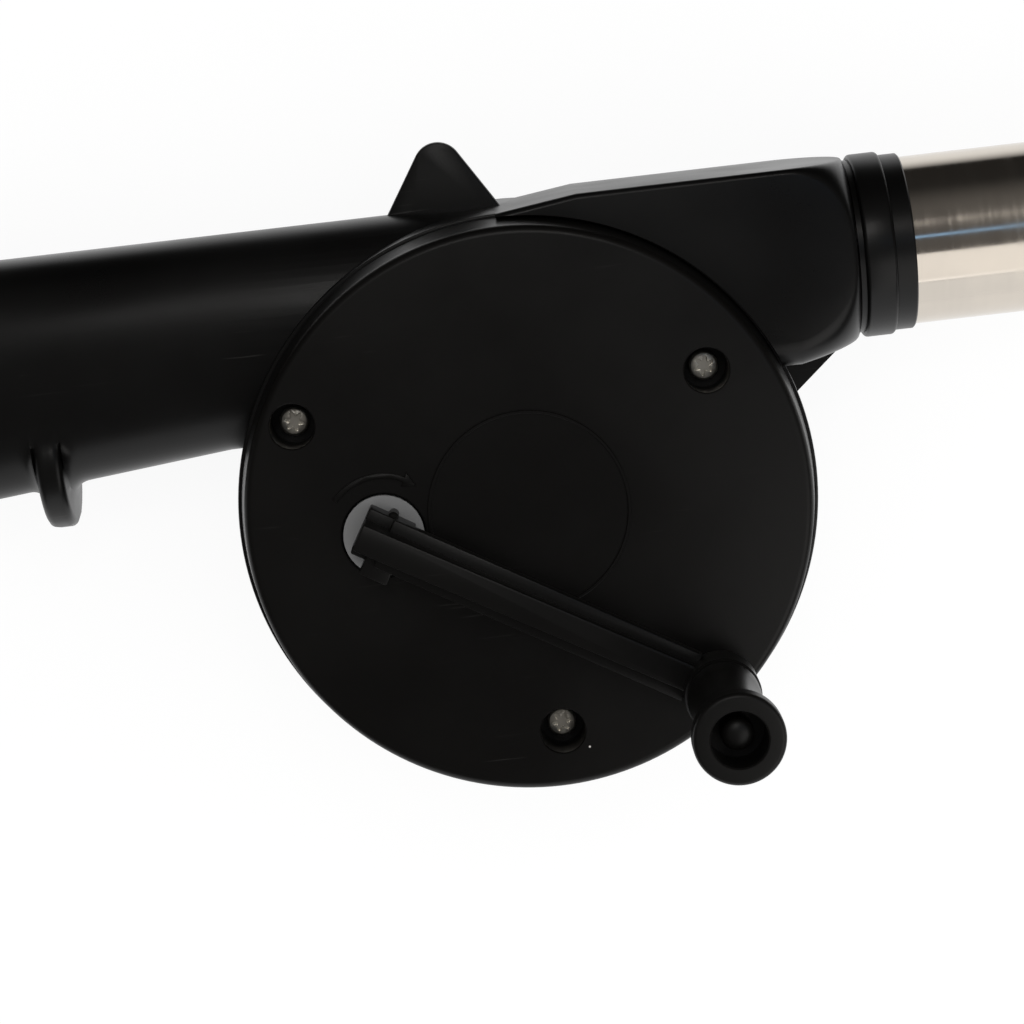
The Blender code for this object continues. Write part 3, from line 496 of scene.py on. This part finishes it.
drum = {
    "rear": 2.2 * mm, "edge": 1.5 * mm, "rimRadius": 50.1 * mm, "draftHeight": 20 * mm,
    "rim": 34.7 * mm, "bore": 48.5 * mm, "coverRoom": 49.7 * mm, "rimRound": 0.35 * mm,
}
grip = {
    "start": -2 * mm, "blend": 12 * mm, "end": -139.7 * mm, "top": 51.1 * mm, "rootBottom": 13.5 * mm,
    "endBottom": 7.7 * mm, "taper": 60 * mm, "halfDepth": 13.2 * mm, "square": 2.5, "wall": 2.2 * mm,
    "hollowStart": -28 * mm, "corners": 72,     # corners round one section
}
tab = {
    "place": -81.7 * mm, "half": 2.4 * mm, "radius": 12.6 * mm, "tip": 3.0 * mm, "round": 1.5 * mm,
    "flank": 0.9 * mm, "leftFillet": 3.2 * mm, "rightFillet": 3.6 * mm,
}
neck = {
    "end": 60.6 * mm, "endRadius": 15.7 * mm, "top": 52 * mm, "bottom": 18.3 * mm, "halfDepth": 17.4 * mm,
    "flatEnd": 49.4 * mm, "wall": 2 * mm, "blend": 14 * mm, "crisp": 1.0 * mm, "soft": 4.5 * mm,
    "sink": 0.5 * mm, "hollowStart": 12 * mm,
}
fin = {
    "tip": (-9 * mm, 58.4 * mm), "radius": 4.3 * mm, "foot": 12.5 * mm, "depth": 4 * mm,
    "thickness": 2.5 * mm, "edge": 0.35 * mm,
}
web = {"drop": 8.8 * mm, "root": 8 * mm, "rootDrop": 6 * mm, "end": 1.4 * mm, "sunk": 1 * mm}
inside = {
    "post": 3.4 * mm, "postFoot": 1.1 * mm, "coverPostTop": 32.7 * mm, "platePostTop": 22 * mm,
    "platePostReach": 42 * mm, "platePostAngles": (95, 205, 325), "chamberTop": 22.3 * mm,
    "bearing": 5.4 * mm, "bearingBore": 3.7 * mm, "bearingFloor": 2.3 * mm, "bearingTop": 4.8 * mm,
}
grille = {
    "slot": 3 * mm, "rib": 2.2 * mm, "inner": 12.5 * mm, "bar": 2 * mm, "length": 7.5 * mm,
    "cutLow": -3 * mm, "cutHigh": 5 * mm,
}


def gripBottom(x):
    reach = min(max((-x - drumRadius) / grip["taper"], 0), 1)
    return grip["rootBottom"] + (grip["endBottom"] - grip["rootBottom"]) * reach


def tabReach(x):
    # How far the finger tab's disc stands from its centre at this place along the grip
    away = abs(x - tab["place"])
    inner = tab["half"] - tab["round"]
    if away <= inner:
        return tab["radius"]
    if away <= tab["half"]:
        return tab["radius"] - tab["round"] + sqrt(tab["round"] ** 2 - (away - inner) ** 2)
    return tab["radius"] - tab["round"] - (away - tab["half"]) * tab["radius"] / tab["flank"]


def gripRing(x, inset, withTab=False, ringTop=grip["top"]):
    # A rounded oval across the grip; where the tab stands, its lower half swells out to the tab's disc
    bottom = gripBottom(x)
    middle, half = (ringTop + bottom) / 2, (ringTop - bottom) / 2 - inset
    depth, power = grip["halfDepth"] - inset, 2 / grip["square"]
    heart = tab["tip"] + tab["radius"]
    away = x - tab["place"]
    fillet = tab["rightFillet"] if away > 0 else tab["leftFillet"]
    ring = []
    for step in range(grip["corners"]):
        angle = 2 * pi * step / grip["corners"]
        across, deep = cos(angle), sin(angle)
        y = middle + half * abs(across) ** power * (1 if across >= 0 else -1)
        z = depth * abs(deep) ** power * (1 if deep >= 0 else -1)
        if withTab:
            reach = hypot(y - heart, z)
            disc = tabReach(x)
            # The fillet is a soft step where the disc's flank meets the oval
            close = max(0, 1 - (abs(away) - tab["half"]) / fillet) if abs(away) > tab["half"] else 1
            edge = tab["radius"] - reach
            if edge > 0:
                lift = max(disc - reach, 0)
                soft = min(edge, fillet * 0.55) * close ** 3 if disc < tab["radius"] - tab["round"] else 0
                grown = reach + max(lift, soft)
                y, z = heart + (y - heart) * grown / reach, z * grown / reach
        ring.append((x, y, midHeight + z))
    return ring


def gripStations(start, end):
    # Close together round the finger tab, wide apart on the plain stretches
    places = {start, end, -drumRadius - grip["taper"]}
    if end < -drumRadius < start:
        places.add(-drumRadius)
    for side in (-1, 1):
        for share in (0.15, 0.42, 0.58, 0.74, 0.86, 0.95, 1):
            places.add(tab["place"] + side * share * tab["half"])
        for beyond in (0.25, 0.45, 0.65, 0.8, 0.95, 1.15, 1.45, 1.9, 2.4, 3, 3.8, 5.8):
            places.add(tab["place"] + side * (tab["half"] + beyond * mm))
    return sorted((x for x in places if end <= x <= start), reverse=True)


def neckRing(x, roof, base, depth, crisp, soft, corners=10, sides=5):
    # A rectangle across the duct with crisp upper corners and softer lower ones
    ring = []
    corner = [
        ((roof - crisp, depth - crisp), crisp, 0), ((roof - crisp, crisp - depth), crisp, -pi / 2),
        ((base + soft, soft - depth), soft, -pi), ((base + soft, depth - soft), soft, -3 * pi / 2)]
    for number, (centre, radius, start) in enumerate(corner):
        # From the +y side round towards -z, then -y, then +z
        for y, z in arcPoints(centre, radius, start + pi / 2, start, corners):
            ring.append((x, y, midHeight + z))
        following = corner[(number + 1) % 4]
        here = ring[-1]
        (heartY, heartZ), reach, turn = following
        there = (x, heartY + reach * cos(turn + pi / 2), midHeight + heartZ + reach * sin(turn + pi / 2))
        for step in range(1, sides):
            ring.append(tuple(a + (b - a) * step / sides for a, b in zip(here, there)))
    return ring


def neckRings(start, end, inset):
    # Boxy up to flatEnd, then round along a quarter circle, which leaves the flat front D-shaped
    endTop, endBottom = tubeHeight + neck["endRadius"], tubeHeight - neck["endRadius"]
    rings = []
    for x, roof in ((start, drumRadius - neck["sink"]), (start + neck["blend"], neck["top"])):
        rings.append(neckRing(x, roof - inset, neck["bottom"] + inset, neck["halfDepth"] - inset,
                              neck["crisp"], neck["soft"]))
    steps = 12
    for step in range(steps + 1):
        swing = pi / 2 * step / steps
        ease = 1 - cos(swing)
        x = neck["flatEnd"] + (neck["end"] - neck["flatEnd"]) * sin(swing)
        roof = neck["top"] + (endTop - neck["top"]) * ease - inset
        base = neck["bottom"] + (endBottom - neck["bottom"]) * sin(swing) + inset
        depth = neck["halfDepth"] + (neck["endRadius"] - neck["halfDepth"]) * ease - inset
        full = min(depth, (roof - base) / 2) * almost
        rings.append(neckRing(x, roof, base, depth, neck["crisp"] + (full - neck["crisp"]) * ease,
                              neck["soft"] + (full - neck["soft"]) * ease))
    if end > neck["end"]:
        radius = neck["endRadius"] - inset
        full = radius * almost
        rings.append(neckRing(end, endTop - inset, endBottom + inset, radius, full, full))
    return rings


def tangent(centre, radius, point, side):
    # Direction of the spot where a line from the point touches the circle
    span = (point[0] - centre[0], point[1] - centre[1])
    return atan2(span[1], span[0]) + side * (pi / 2 - asin(radius / hypot(*span)))


def finPlate():
    left = (fin["tip"][0] - fin["foot"], drumRadius - fin["depth"])
    rightFoot = (fin["tip"][0] + fin["foot"], drumRadius - fin["depth"])
    start = tangent(fin["tip"], fin["radius"], rightFoot, 1)
    end = tangent(fin["tip"], fin["radius"], left, -1) % (2 * pi)
    outline = [left, rightFoot] + arcPoints(fin["tip"], fin["radius"], start, end, 20)
    low = midHeight - fin["thickness"] / 2
    piece = plate("fin", outline, low, low + fin["thickness"])
    rounded(piece, lambda edge: edgesAt(low)(edge) or edgesAt(low + fin["thickness"])(edge), fin["edge"])
    return piece


def webPlate():
    # The triangle under the neck
    foot, end = tubeHeight - neck["endRadius"], neck["end"] - web["end"]
    side = sqrt(drumRadius ** 2 - (foot - web["drop"]) ** 2)
    outline = [
        (side - web["root"], foot - web["drop"] - web["rootDrop"]), (side - neck["sink"], foot - web["drop"]),
        (end, foot), (end, foot + web["sunk"]), (side - web["root"], foot + web["sunk"])]
    low = midHeight - fin["thickness"] / 2
    return plate("web", outline, low, low + fin["thickness"])


def makeHousing():
    edge, rimRound = drum["edge"], drum["rimRound"]
    profile = [(0, 0)] + [(drumRadius - edge + edge * sin(a), edge - edge * cos(a)) for a in
                          (pi / 2 * step / 5 for step in range(6))]
    profile += [(drumRadius, drum["draftHeight"]), (drum["rimRadius"], drum["rim"] - rimRound)]
    profile += [(drum["rimRadius"] - 0.3 * rimRound, drum["rim"] - 0.3 * rimRound),
                (drum["rimRadius"] - rimRound, drum["rim"]), (0, drum["rim"])]
    housing = turned("drumHousing", profile, 192)
    buried = [gripRing(grip["start"], 0, False, drumRadius - neck["sink"])]
    gripPiece = skinned("grip", buried + [
        gripRing(x, 0, True) for x in gripStations(grip["start"] - grip["blend"], grip["end"])])
    neckPiece = skinned("neck", neckRings(0, neck["end"], 0))
    combined(housing, [gripPiece, neckPiece, finPlate(), webPlate()], "UNION")
    gripHollow = skinned("gripHollow", [
        gripRing(x, grip["wall"]) for x in (grip["hollowStart"], -drumRadius, -drumRadius - grip["taper"],
                                            grip["end"] - grip["wall"])])
    combined(gripHollow, [turned("hollowStop", [
        (0, -mm), (drumRadius, -mm), (drumRadius, coverFront), (0, coverFront)], 96)], "DIFFERENCE")
    neckHollow = skinned("neckHollow", neckRings(
        neck["hollowStart"], neck["end"] + neck["wall"], neck["wall"]))
    stop, chamberTop = drumRadius + neck["wall"], inside["chamberTop"]
    combined(neckHollow, [turned("ductStop", [
        (0, chamberTop), (stop, chamberTop), (stop, coverFront), (0, coverFront)], 96)], "DIFFERENCE")
    room, bore, rim = drum["coverRoom"], drum["bore"], drum["rim"]
    cup = turned("cup", [(0, drum["rear"]), (bore, drum["rear"]), (bore, rim), (room, rim),
                         (room, coverFront), (0, coverFront)], 192)
    combined(housing, [gripHollow, neckHollow, cup], "DIFFERENCE")
    slots = []
    for ringNumber in range(2):
        inner = grille["inner"] + ringNumber * (grille["length"] + grille["bar"])
        outer, half = inner + grille["length"], grille["slot"] / 2
        count = int(2 * pi * inner / (grille["slot"] + grille["rib"]))
        for number in range(count):
            corners = [(inner, -half), (outer, -half), (outer, half), (inner, half)]
            slot = plate("slot", corners, grille["cutLow"], grille["cutHigh"])
            turnedInPlan(slot, 2 * pi * number / count, (0, 0))
            slots.append(slot)
    combined(housing, [merged("slots", slots)], "DIFFERENCE")
    reach, posts = inside["platePostReach"], [(place, inside["coverPostTop"]) for place in screwPlaces]
    for turn in (radians(angle) for angle in inside["platePostAngles"]):
        posts.append(((reach * cos(turn), reach * sin(turn)), inside["platePostTop"]))
    radius, low = inside["post"], inside["postFoot"]
    columns = [turned("column", [(0, low), (radius, low), (radius, height), (0, height)], 24, (x, y, 0))
               for (x, y), height in posts]
    combined(housing, [merged("columns", columns)], "UNION")
    bore, outer = inside["bearingBore"], inside["bearing"]
    seat, high = inside["bearingFloor"], inside["bearingTop"]
    combined(housing, [turned("bearing", [
        (0, seat), (bore, seat), (bore, low), (outer, low), (outer, high), (bore, high),
        (bore, seat + 0.1 * mm), (0, seat + 0.1 * mm)], 32)], "UNION")
    return finished(housing, "housing", bodyPlastic, ["main_housing", "handle_grip"])


makeHousing()


# Front cover and its screws

cover = {
    "face": 48.5 * mm, "foot": 49.4 * mm, "fillet": 1.5 * mm, "inside": 41.8 * mm, "footHeight": 35 * mm,
    "spigotFoot": 33 * mm, "spigotOuter": 48.2 * mm, "spigotInner": 46.6 * mm, "footRound": 0.3 * mm,
    "hubHole": 7.2 * mm, "well": 3.85 * mm, "wellFloor": 34.8 * mm, "wellEdge": 0.2 * mm, "bossFoot": 33 * mm,
    "boss": 5.25 * mm, "screwHole": 1.6 * mm,
}
relief = {
    "height": 0.3 * mm, "soft": 0.12 * mm, "ringRadius": 17 * mm, "ringWidth": 0.6 * mm,
    "arrowRadius": 10.2 * mm, "arrowWidth": 0.9 * mm, "arrowStart": radians(138), "arrowEnd": radians(64),
    "headTurn": radians(13), "headWidth": 2.6 * mm,
}
screw = {
    "seat": 35.1 * mm, "head": 2.55 * mm, "headHeight": 1.9 * mm, "shank": 1.3 * mm, "length": 13 * mm,
    "recess": 1.75 * mm, "recessDepth": 0.9 * mm, "recessEdge": 0.24 * mm,
    "lobes": 6, "lobeShare": 0.24, "corners": 72,
}


def makeRelief():
    # Raised ring and turning arrow, with softened upper edges
    low, high = coverFront - mm, coverFront + relief["height"]
    inner = relief["ringRadius"] - relief["ringWidth"] / 2
    outer, soft = inner + relief["ringWidth"], relief["soft"]
    ring = turned("reliefRing", [(inner, low), (outer, low), (outer, high - soft), (outer - soft, high),
                                 (inner + soft, high), (inner, high - soft)], 128, closed=True)
    half, radius = relief["arrowWidth"] / 2, relief["arrowRadius"]
    outline = arcPoints((0, 0), radius + half, relief["arrowStart"], relief["arrowEnd"], 24)
    outline += [((radius + offset) * cos(angle), (radius + offset) * sin(angle)) for offset, angle in (
        (relief["headWidth"] / 2, relief["arrowEnd"]), (0, relief["arrowEnd"] - relief["headTurn"]),
        (-relief["headWidth"] / 2, relief["arrowEnd"]))]
    outline += arcPoints((0, 0), radius - half, relief["arrowEnd"], relief["arrowStart"], 24)
    arrow = plate("reliefArrow", outline, low, high)
    rounded(arrow, edgesAt(high), soft, 2)
    turnedInPlan(arrow, 0, crankPlace)
    return [ring, arrow]


def makeCover():
    face, edge, foot = cover["face"], coverFront - cover["fillet"], cover["footHeight"]
    soft = cover["footRound"]
    profile = [
        (0, cover["inside"]), (cover["spigotInner"], cover["inside"]),
        (cover["spigotInner"], cover["spigotFoot"]), (cover["spigotOuter"], cover["spigotFoot"]),
        (cover["spigotOuter"], foot), (cover["foot"] - soft, foot),
        (cover["foot"] - 0.3 * soft, foot + 0.3 * soft), (cover["foot"], foot + soft)]
    profile += arcPoints((face - cover["fillet"], edge), cover["fillet"], 0, pi / 2, 8) + [(0, coverFront)]
    shell = turned("frontCoverShell", profile, 192)
    bosses = [turned("boss", [(0, cover["bossFoot"]), (cover["boss"], cover["bossFoot"]),
                              (cover["boss"], coverFront - mm), (0, coverFront - mm)], 40, (x, y, 0))
              for x, y in screwPlaces]
    combined(shell, bosses + makeRelief(), "UNION")
    above, below = coverFront + 2 * mm, 30 * mm         # the cutters reach past both faces
    wells = []
    for x, y in screwPlaces:
        mouth, soft = cover["well"] + cover["wellEdge"], cover["wellEdge"]
        wells.append(turned("well", [
            (0, below), (cover["screwHole"], below), (cover["screwHole"], cover["wellFloor"]),
            (cover["well"], cover["wellFloor"]), (cover["well"], coverFront - soft), (mouth, coverFront),
            (mouth, above), (0, above)], 64, (x, y, 0)))
    hub, edge = cover["hubHole"], cover["wellEdge"]
    hole = turned("hubHole", [
        (0, below), (hub, below), (hub, coverFront - edge), (hub + edge, coverFront),
        (hub + edge, above), (0, above)], 96, (*crankPlace, 0))
    combined(shell, wells + [hole], "DIFFERENCE")
    return finished(shell, "housing", coverPlastic, ["front_cover"])


def makeScrew(number, place, turn):
    # Domed head with a six-lobed recess
    seat, head, top = screw["seat"], screw["head"], screw["seat"] + screw["headHeight"]
    foot, shank = seat - screw["length"], screw["shank"]
    profile = [(0, foot), (shank * 0.6, foot + shank), (shank, foot + 2.5 * shank), (shank, seat),
               (head - 0.1 * mm, seat), (head, seat + 0.1 * mm), (head, top - 0.75 * mm),
               (head * 0.96, top - 0.45 * mm), (head * 0.84, top - 0.2 * mm), (head * 0.6, top - 0.06 * mm),
               (0, top)]
    piece = turned(f"coverScrew{number}", profile, 48)
    star, floorAt = [], top - screw["recessDepth"]
    for step in range(screw["corners"]):
        angle = 2 * pi * step / screw["corners"]
        radius = screw["recess"] * (1 - screw["lobeShare"] + screw["lobeShare"] * cos(screw["lobes"] * angle))
        star.append((radius * cos(angle), radius * sin(angle)))
    combined(piece, [plate("recess", star, floorAt, top + mm)], "DIFFERENCE")

    def rimOfRecess(edge):
        if len(edge.link_faces) != 2 or edge.calc_face_angle() <= radians(45):
            return False
        first, last = (corner.co for corner in edge.verts)
        inward = all(hypot(spot.x, spot.y) < screw["recess"] * 1.01 for spot in (first, last))
        return inward and min(first.z, last.z) > floorAt + 0.1 * mm and abs(first.z - last.z) < 0.2 * mm

    rounded(piece, rimOfRecess, screw["recessEdge"], 3)
    turnedInPlan(piece, turn, place)
    return finished(piece, "housing", screwSteel, [f"cover_screw_{number}"], 25)


makeCover()
for number, (place, turn) in enumerate(zip(screwPlaces, (0.3, 0.75, 0.1)), 1):
    makeScrew(number, place, turn)


# Crank arm, pin and knob

arm = {
    "low": 49 * mm, "thick": 3.0 * mm, "width": 8.7 * mm, "start": 0.2 * mm, "end": 57 * mm,
    "block": 8.4 * mm, "blockLow": 44.5 * mm, "blockTop": 49.7 * mm, "nub": 0.9 * mm,
    "socketHalf": 2.8 * mm, "socketTop": 48.5 * mm, "pinHole": 2.3 * mm,
    "ribWidth": 4.6 * mm, "ribHub": 5.2 * mm, "ribEnd": 1.5 * mm, "ribRound": 0.25 * mm,
    "ear": 5.0 * mm, "earReach": 2.4 * mm, "boss": 6.5 * mm, "bossHeight": 7.7 * mm, "round": 0.3 * mm,
}
knob = {
    "foot": 57 * mm, "length": 31 * mm, "footRadius": 6.2 * mm, "waist": 5.0 * mm, "flange": 7.5 * mm,
    "flangeLength": 3.6 * mm, "bore": 4.6 * mm, "boreDepth": 8 * mm, "through": 2.3 * mm, "round": 0.8 * mm,
    "soft": 0.5 * mm, "lip": 0.25 * mm, "swell": 2.2, "steps": 14,
    "waistStart": 3 * mm, "waistEnd": 1.2 * mm, "flangeLess": 0.9 * mm,
}
pin = {"low": 50.3 * mm, "radius": 2.0 * mm, "head": 2.7 * mm, "headHeight": 4.6 * mm, "dome": 1.3 * mm}


def box(name, low, high):
    # A cube pulled to its corners
    bpy.ops.object.select_all(action="DESELECT")
    middle = [(a + b) / 2 for a, b in zip(low, high)]
    bpy.ops.mesh.primitive_cube_add(size=1, location=middle, scale=[b - a for a, b in zip(low, high)])
    piece = bpy.context.object
    piece.name = piece.data.name = name
    bpy.ops.object.transform_apply(location=True, rotation=True, scale=True)
    return piece


def makeArm():
    low, high, half = arm["low"], arm["low"] + arm["thick"], arm["width"] / 2
    soft, every = arm["round"], (lambda edge: True)
    strip = box("crankArmBody", (arm["start"], -half, low), (arm["end"], half, high))
    rounded(strip, every, soft)
    side, blockTop = arm["block"] / 2, arm["blockTop"]
    block = box("block", (-side, -side, arm["blockLow"]), (side, side, blockTop))
    rounded(block, every, soft)
    nub = turned("nub", [
        (0, arm["blockLow"]), (arm["nub"], arm["blockLow"]), (arm["nub"], blockTop - 1.3 * mm),
        (arm["nub"] - 0.3 * mm, blockTop - mm), (0, blockTop - mm)], 24, (0, side, 0))
    left = mm - arm["ear"] / 2
    ear = box("ear", (left, -side - arm["earReach"], arm["blockLow"] + mm), (left + arm["ear"], 0, high - mm))
    rounded(ear, every, soft)
    start, top = -side - 0.1 * mm, high + arm["ribHub"]
    rib = box("rib", (start, -arm["ribWidth"] / 2, low + 0.3 * mm), (crankReach, arm["ribWidth"] / 2, top))
    bpy.ops.object.mode_set(mode="EDIT")
    pick(lambda corner: corner.co.x > crankReach / 2 and corner.co.z > high, "VERT")
    bpy.ops.transform.translate(value=(0, 0, arm["ribEnd"] - arm["ribHub"]))
    bpy.ops.object.mode_set(mode="OBJECT")
    rounded(rib, every, arm["ribRound"])
    bossTop = low + arm["bossHeight"]
    boss = turned("boss", [
        (0, low + 0.1 * mm), (arm["boss"] - soft, low + 0.1 * mm), (arm["boss"], low + 0.1 * mm + soft),
        (arm["boss"], bossTop - soft), (arm["boss"] - soft, bossTop), (0, bossTop)], 72, (crankReach, 0, 0))
    combined(strip, [block, nub, ear, boss, rib], "UNION")
    hole, bore, above = arm["socketHalf"], arm["pinHole"], 60 * mm
    socket = box("socket", (-hole, -hole, 40 * mm), (hole, hole, arm["socketTop"]))
    pinHole = turned("pinHole", [(0, low + mm), (bore, low + mm), (bore, above), (0, above)], 40,
                     (crankReach, 0, 0))
    combined(strip, [socket, pinHole], "DIFFERENCE")
    turnedInPlan(strip, crankTurn, crankPlace)
    return finished(strip, "crank", crankPlastic, ["crank_arm"])


def makeKnob():
    foot, top, soft = knob["foot"], knob["foot"] + knob["length"], knob["round"]
    flangeFoot = top - knob["flangeLength"]
    waistLow, waistHigh = foot + knob["waistStart"], flangeFoot - knob["waistEnd"]
    waist = []
    for step in range(knob["steps"] + 1):
        share = step / knob["steps"]
        height = waistLow + (waistHigh - waistLow) * share
        swell = abs(2 * share - 1) ** knob["swell"]
        end = knob["footRadius"] if share < 0.5 else knob["flange"] - knob["flangeLess"]
        waist.append((knob["waist"] + (end - knob["waist"]) * swell, height))
    flange = knob["flange"]
    footRadius, footSoft, lip = knob["footRadius"], knob["soft"], knob["lip"]
    profile = [(knob["through"], foot), (footRadius - footSoft, foot), (footRadius, foot + footSoft)]
    profile += waist + [(flange - 0.35 * mm, flangeFoot - 0.4 * mm), (flange, flangeFoot + 0.1 * mm)]
    profile += arcPoints((flange - soft, top - soft), soft, 0, pi / 2, 6)
    bore, boreFoot = knob["bore"], top - knob["boreDepth"]
    profile += [(bore + lip, top), (bore, top - lip), (bore, boreFoot), (knob["through"], boreFoot)]
    piece = turned("turningKnob", profile, 96, (*knobPlace, 0), closed=True)
    finished(piece, "knob", crankPlastic, ["crank_knob"])
    headLow, head = boreFoot + 0.3 * mm, pin["head"]
    domeFoot = headLow + pin["headHeight"] - pin["dome"]
    dome = [(x, domeFoot + y * pin["dome"] / head) for x, y in arcPoints((0, 0), head, 0, pi / 2, 12)]
    shank = [(0, pin["low"]), (pin["radius"], pin["low"]), (pin["radius"], headLow), (head, headLow)]
    piece = turned("knobPin", shank + dome, 48, (*knobPlace, 0))
    finished(piece, "crank", crankPlastic, ["knob_pin"])


makeArm()
makeKnob()


# Nozzle collar, tube and grip end

collar = {
    "start": 60.9 * mm, "ring": 16.0 * mm, "ringLength": 6.3 * mm, "lip": 15.35 * mm, "lipLength": 3.4 * mm,
    "spigot": 13.4 * mm, "inner": 11.8 * mm, "spigotLength": 7 * mm, "socket": 14.95 * mm,
    "shoulder": 1.6 * mm, "groove": 0.9 * mm, "ringRound": 0.7 * mm, "lipEdge": 0.25 * mm,
}
tube = {"radius": 14.65 * mm, "wall": 0.6 * mm, "start": 62.8 * mm, "end": 135.3 * mm, "bead": 0.5 * mm}
cap = {"start": -140.0 * mm, "thick": 2.6 * mm, "spigot": 5 * mm, "wall": 2.2 * mm, "fit": 2.5 * mm}


def makeNozzle():
    start, ring, lip = collar["start"], collar["ring"], collar["lip"]
    ringEnd = start + collar["ringLength"]
    lipEnd = ringEnd + collar["lipLength"]
    foot = start - collar["spigotLength"]
    profile = [(collar["inner"], foot), (collar["spigot"], foot), (collar["spigot"], start)]
    groove, soft, edge = collar["groove"], collar["ringRound"], collar["lipEdge"]
    profile += [(ring - groove, start), (ring - groove, start + groove)]
    profile += arcPoints((ring - soft, start + groove + soft), soft, -pi / 2, 0, 5)
    profile += arcPoints((ring - soft, ringEnd - soft), soft, 0, pi / 2, 5)
    profile += [(lip, ringEnd), (lip, lipEnd - edge), (lip - edge, lipEnd), (collar["socket"], lipEnd),
                (collar["socket"], start + collar["shoulder"]), (collar["inner"], start + collar["shoulder"])]
    piece = turned("nozzleCollar", profile, 128, (0, tubeHeight, midHeight), (1, 0, 0), closed=True)
    finished(piece, "housing", bodyPlastic, ["nozzle_collar"])
    radius, bore, bead, end = tube["radius"], tube["radius"] - tube["wall"], tube["bead"], tube["end"]
    mouth = [(radius + bead * sin(pi * step / 8), end - 2 * bead + 2 * bead * step / 8) for step in range(9)]
    profile = [(bore, tube["start"]), (radius, tube["start"])] + mouth + [(bore, end)]
    piece = turned("steelTube", profile, 160, (0, tubeHeight, midHeight), (1, 0, 0), closed=True)
    finished(piece, "housing", polishedSteel, ["nozzle_tube"])


def makeCap():
    outer, thick = cap["start"], cap["thick"]
    # How far out and how far in, in parts of the thickness
    steps = ((0, 0), (0.5, 0), (0.75, 0.12), (0.92, 0.3), (1, 0.5))
    piece = skinned("gripCap", [gripRing(outer - along * thick, inset * thick) for along, inset in steps])
    spigotEnd = outer + cap["spigot"]
    spigot = skinned("plug", [gripRing(spigotEnd, cap["fit"]), gripRing(outer - 0.3 * thick, cap["fit"])])
    combined(piece, [spigot], "UNION")
    inner = cap["fit"] + cap["wall"]
    hollow = skinned("capHollow", [gripRing(spigotEnd + mm, inner), gripRing(outer, inner)])
    combined(piece, [hollow], "DIFFERENCE")
    finished(piece, "housing", bodyPlastic, ["handle_end_cap"])


makeNozzle()
makeCap()

bpy.context.view_layer.update()
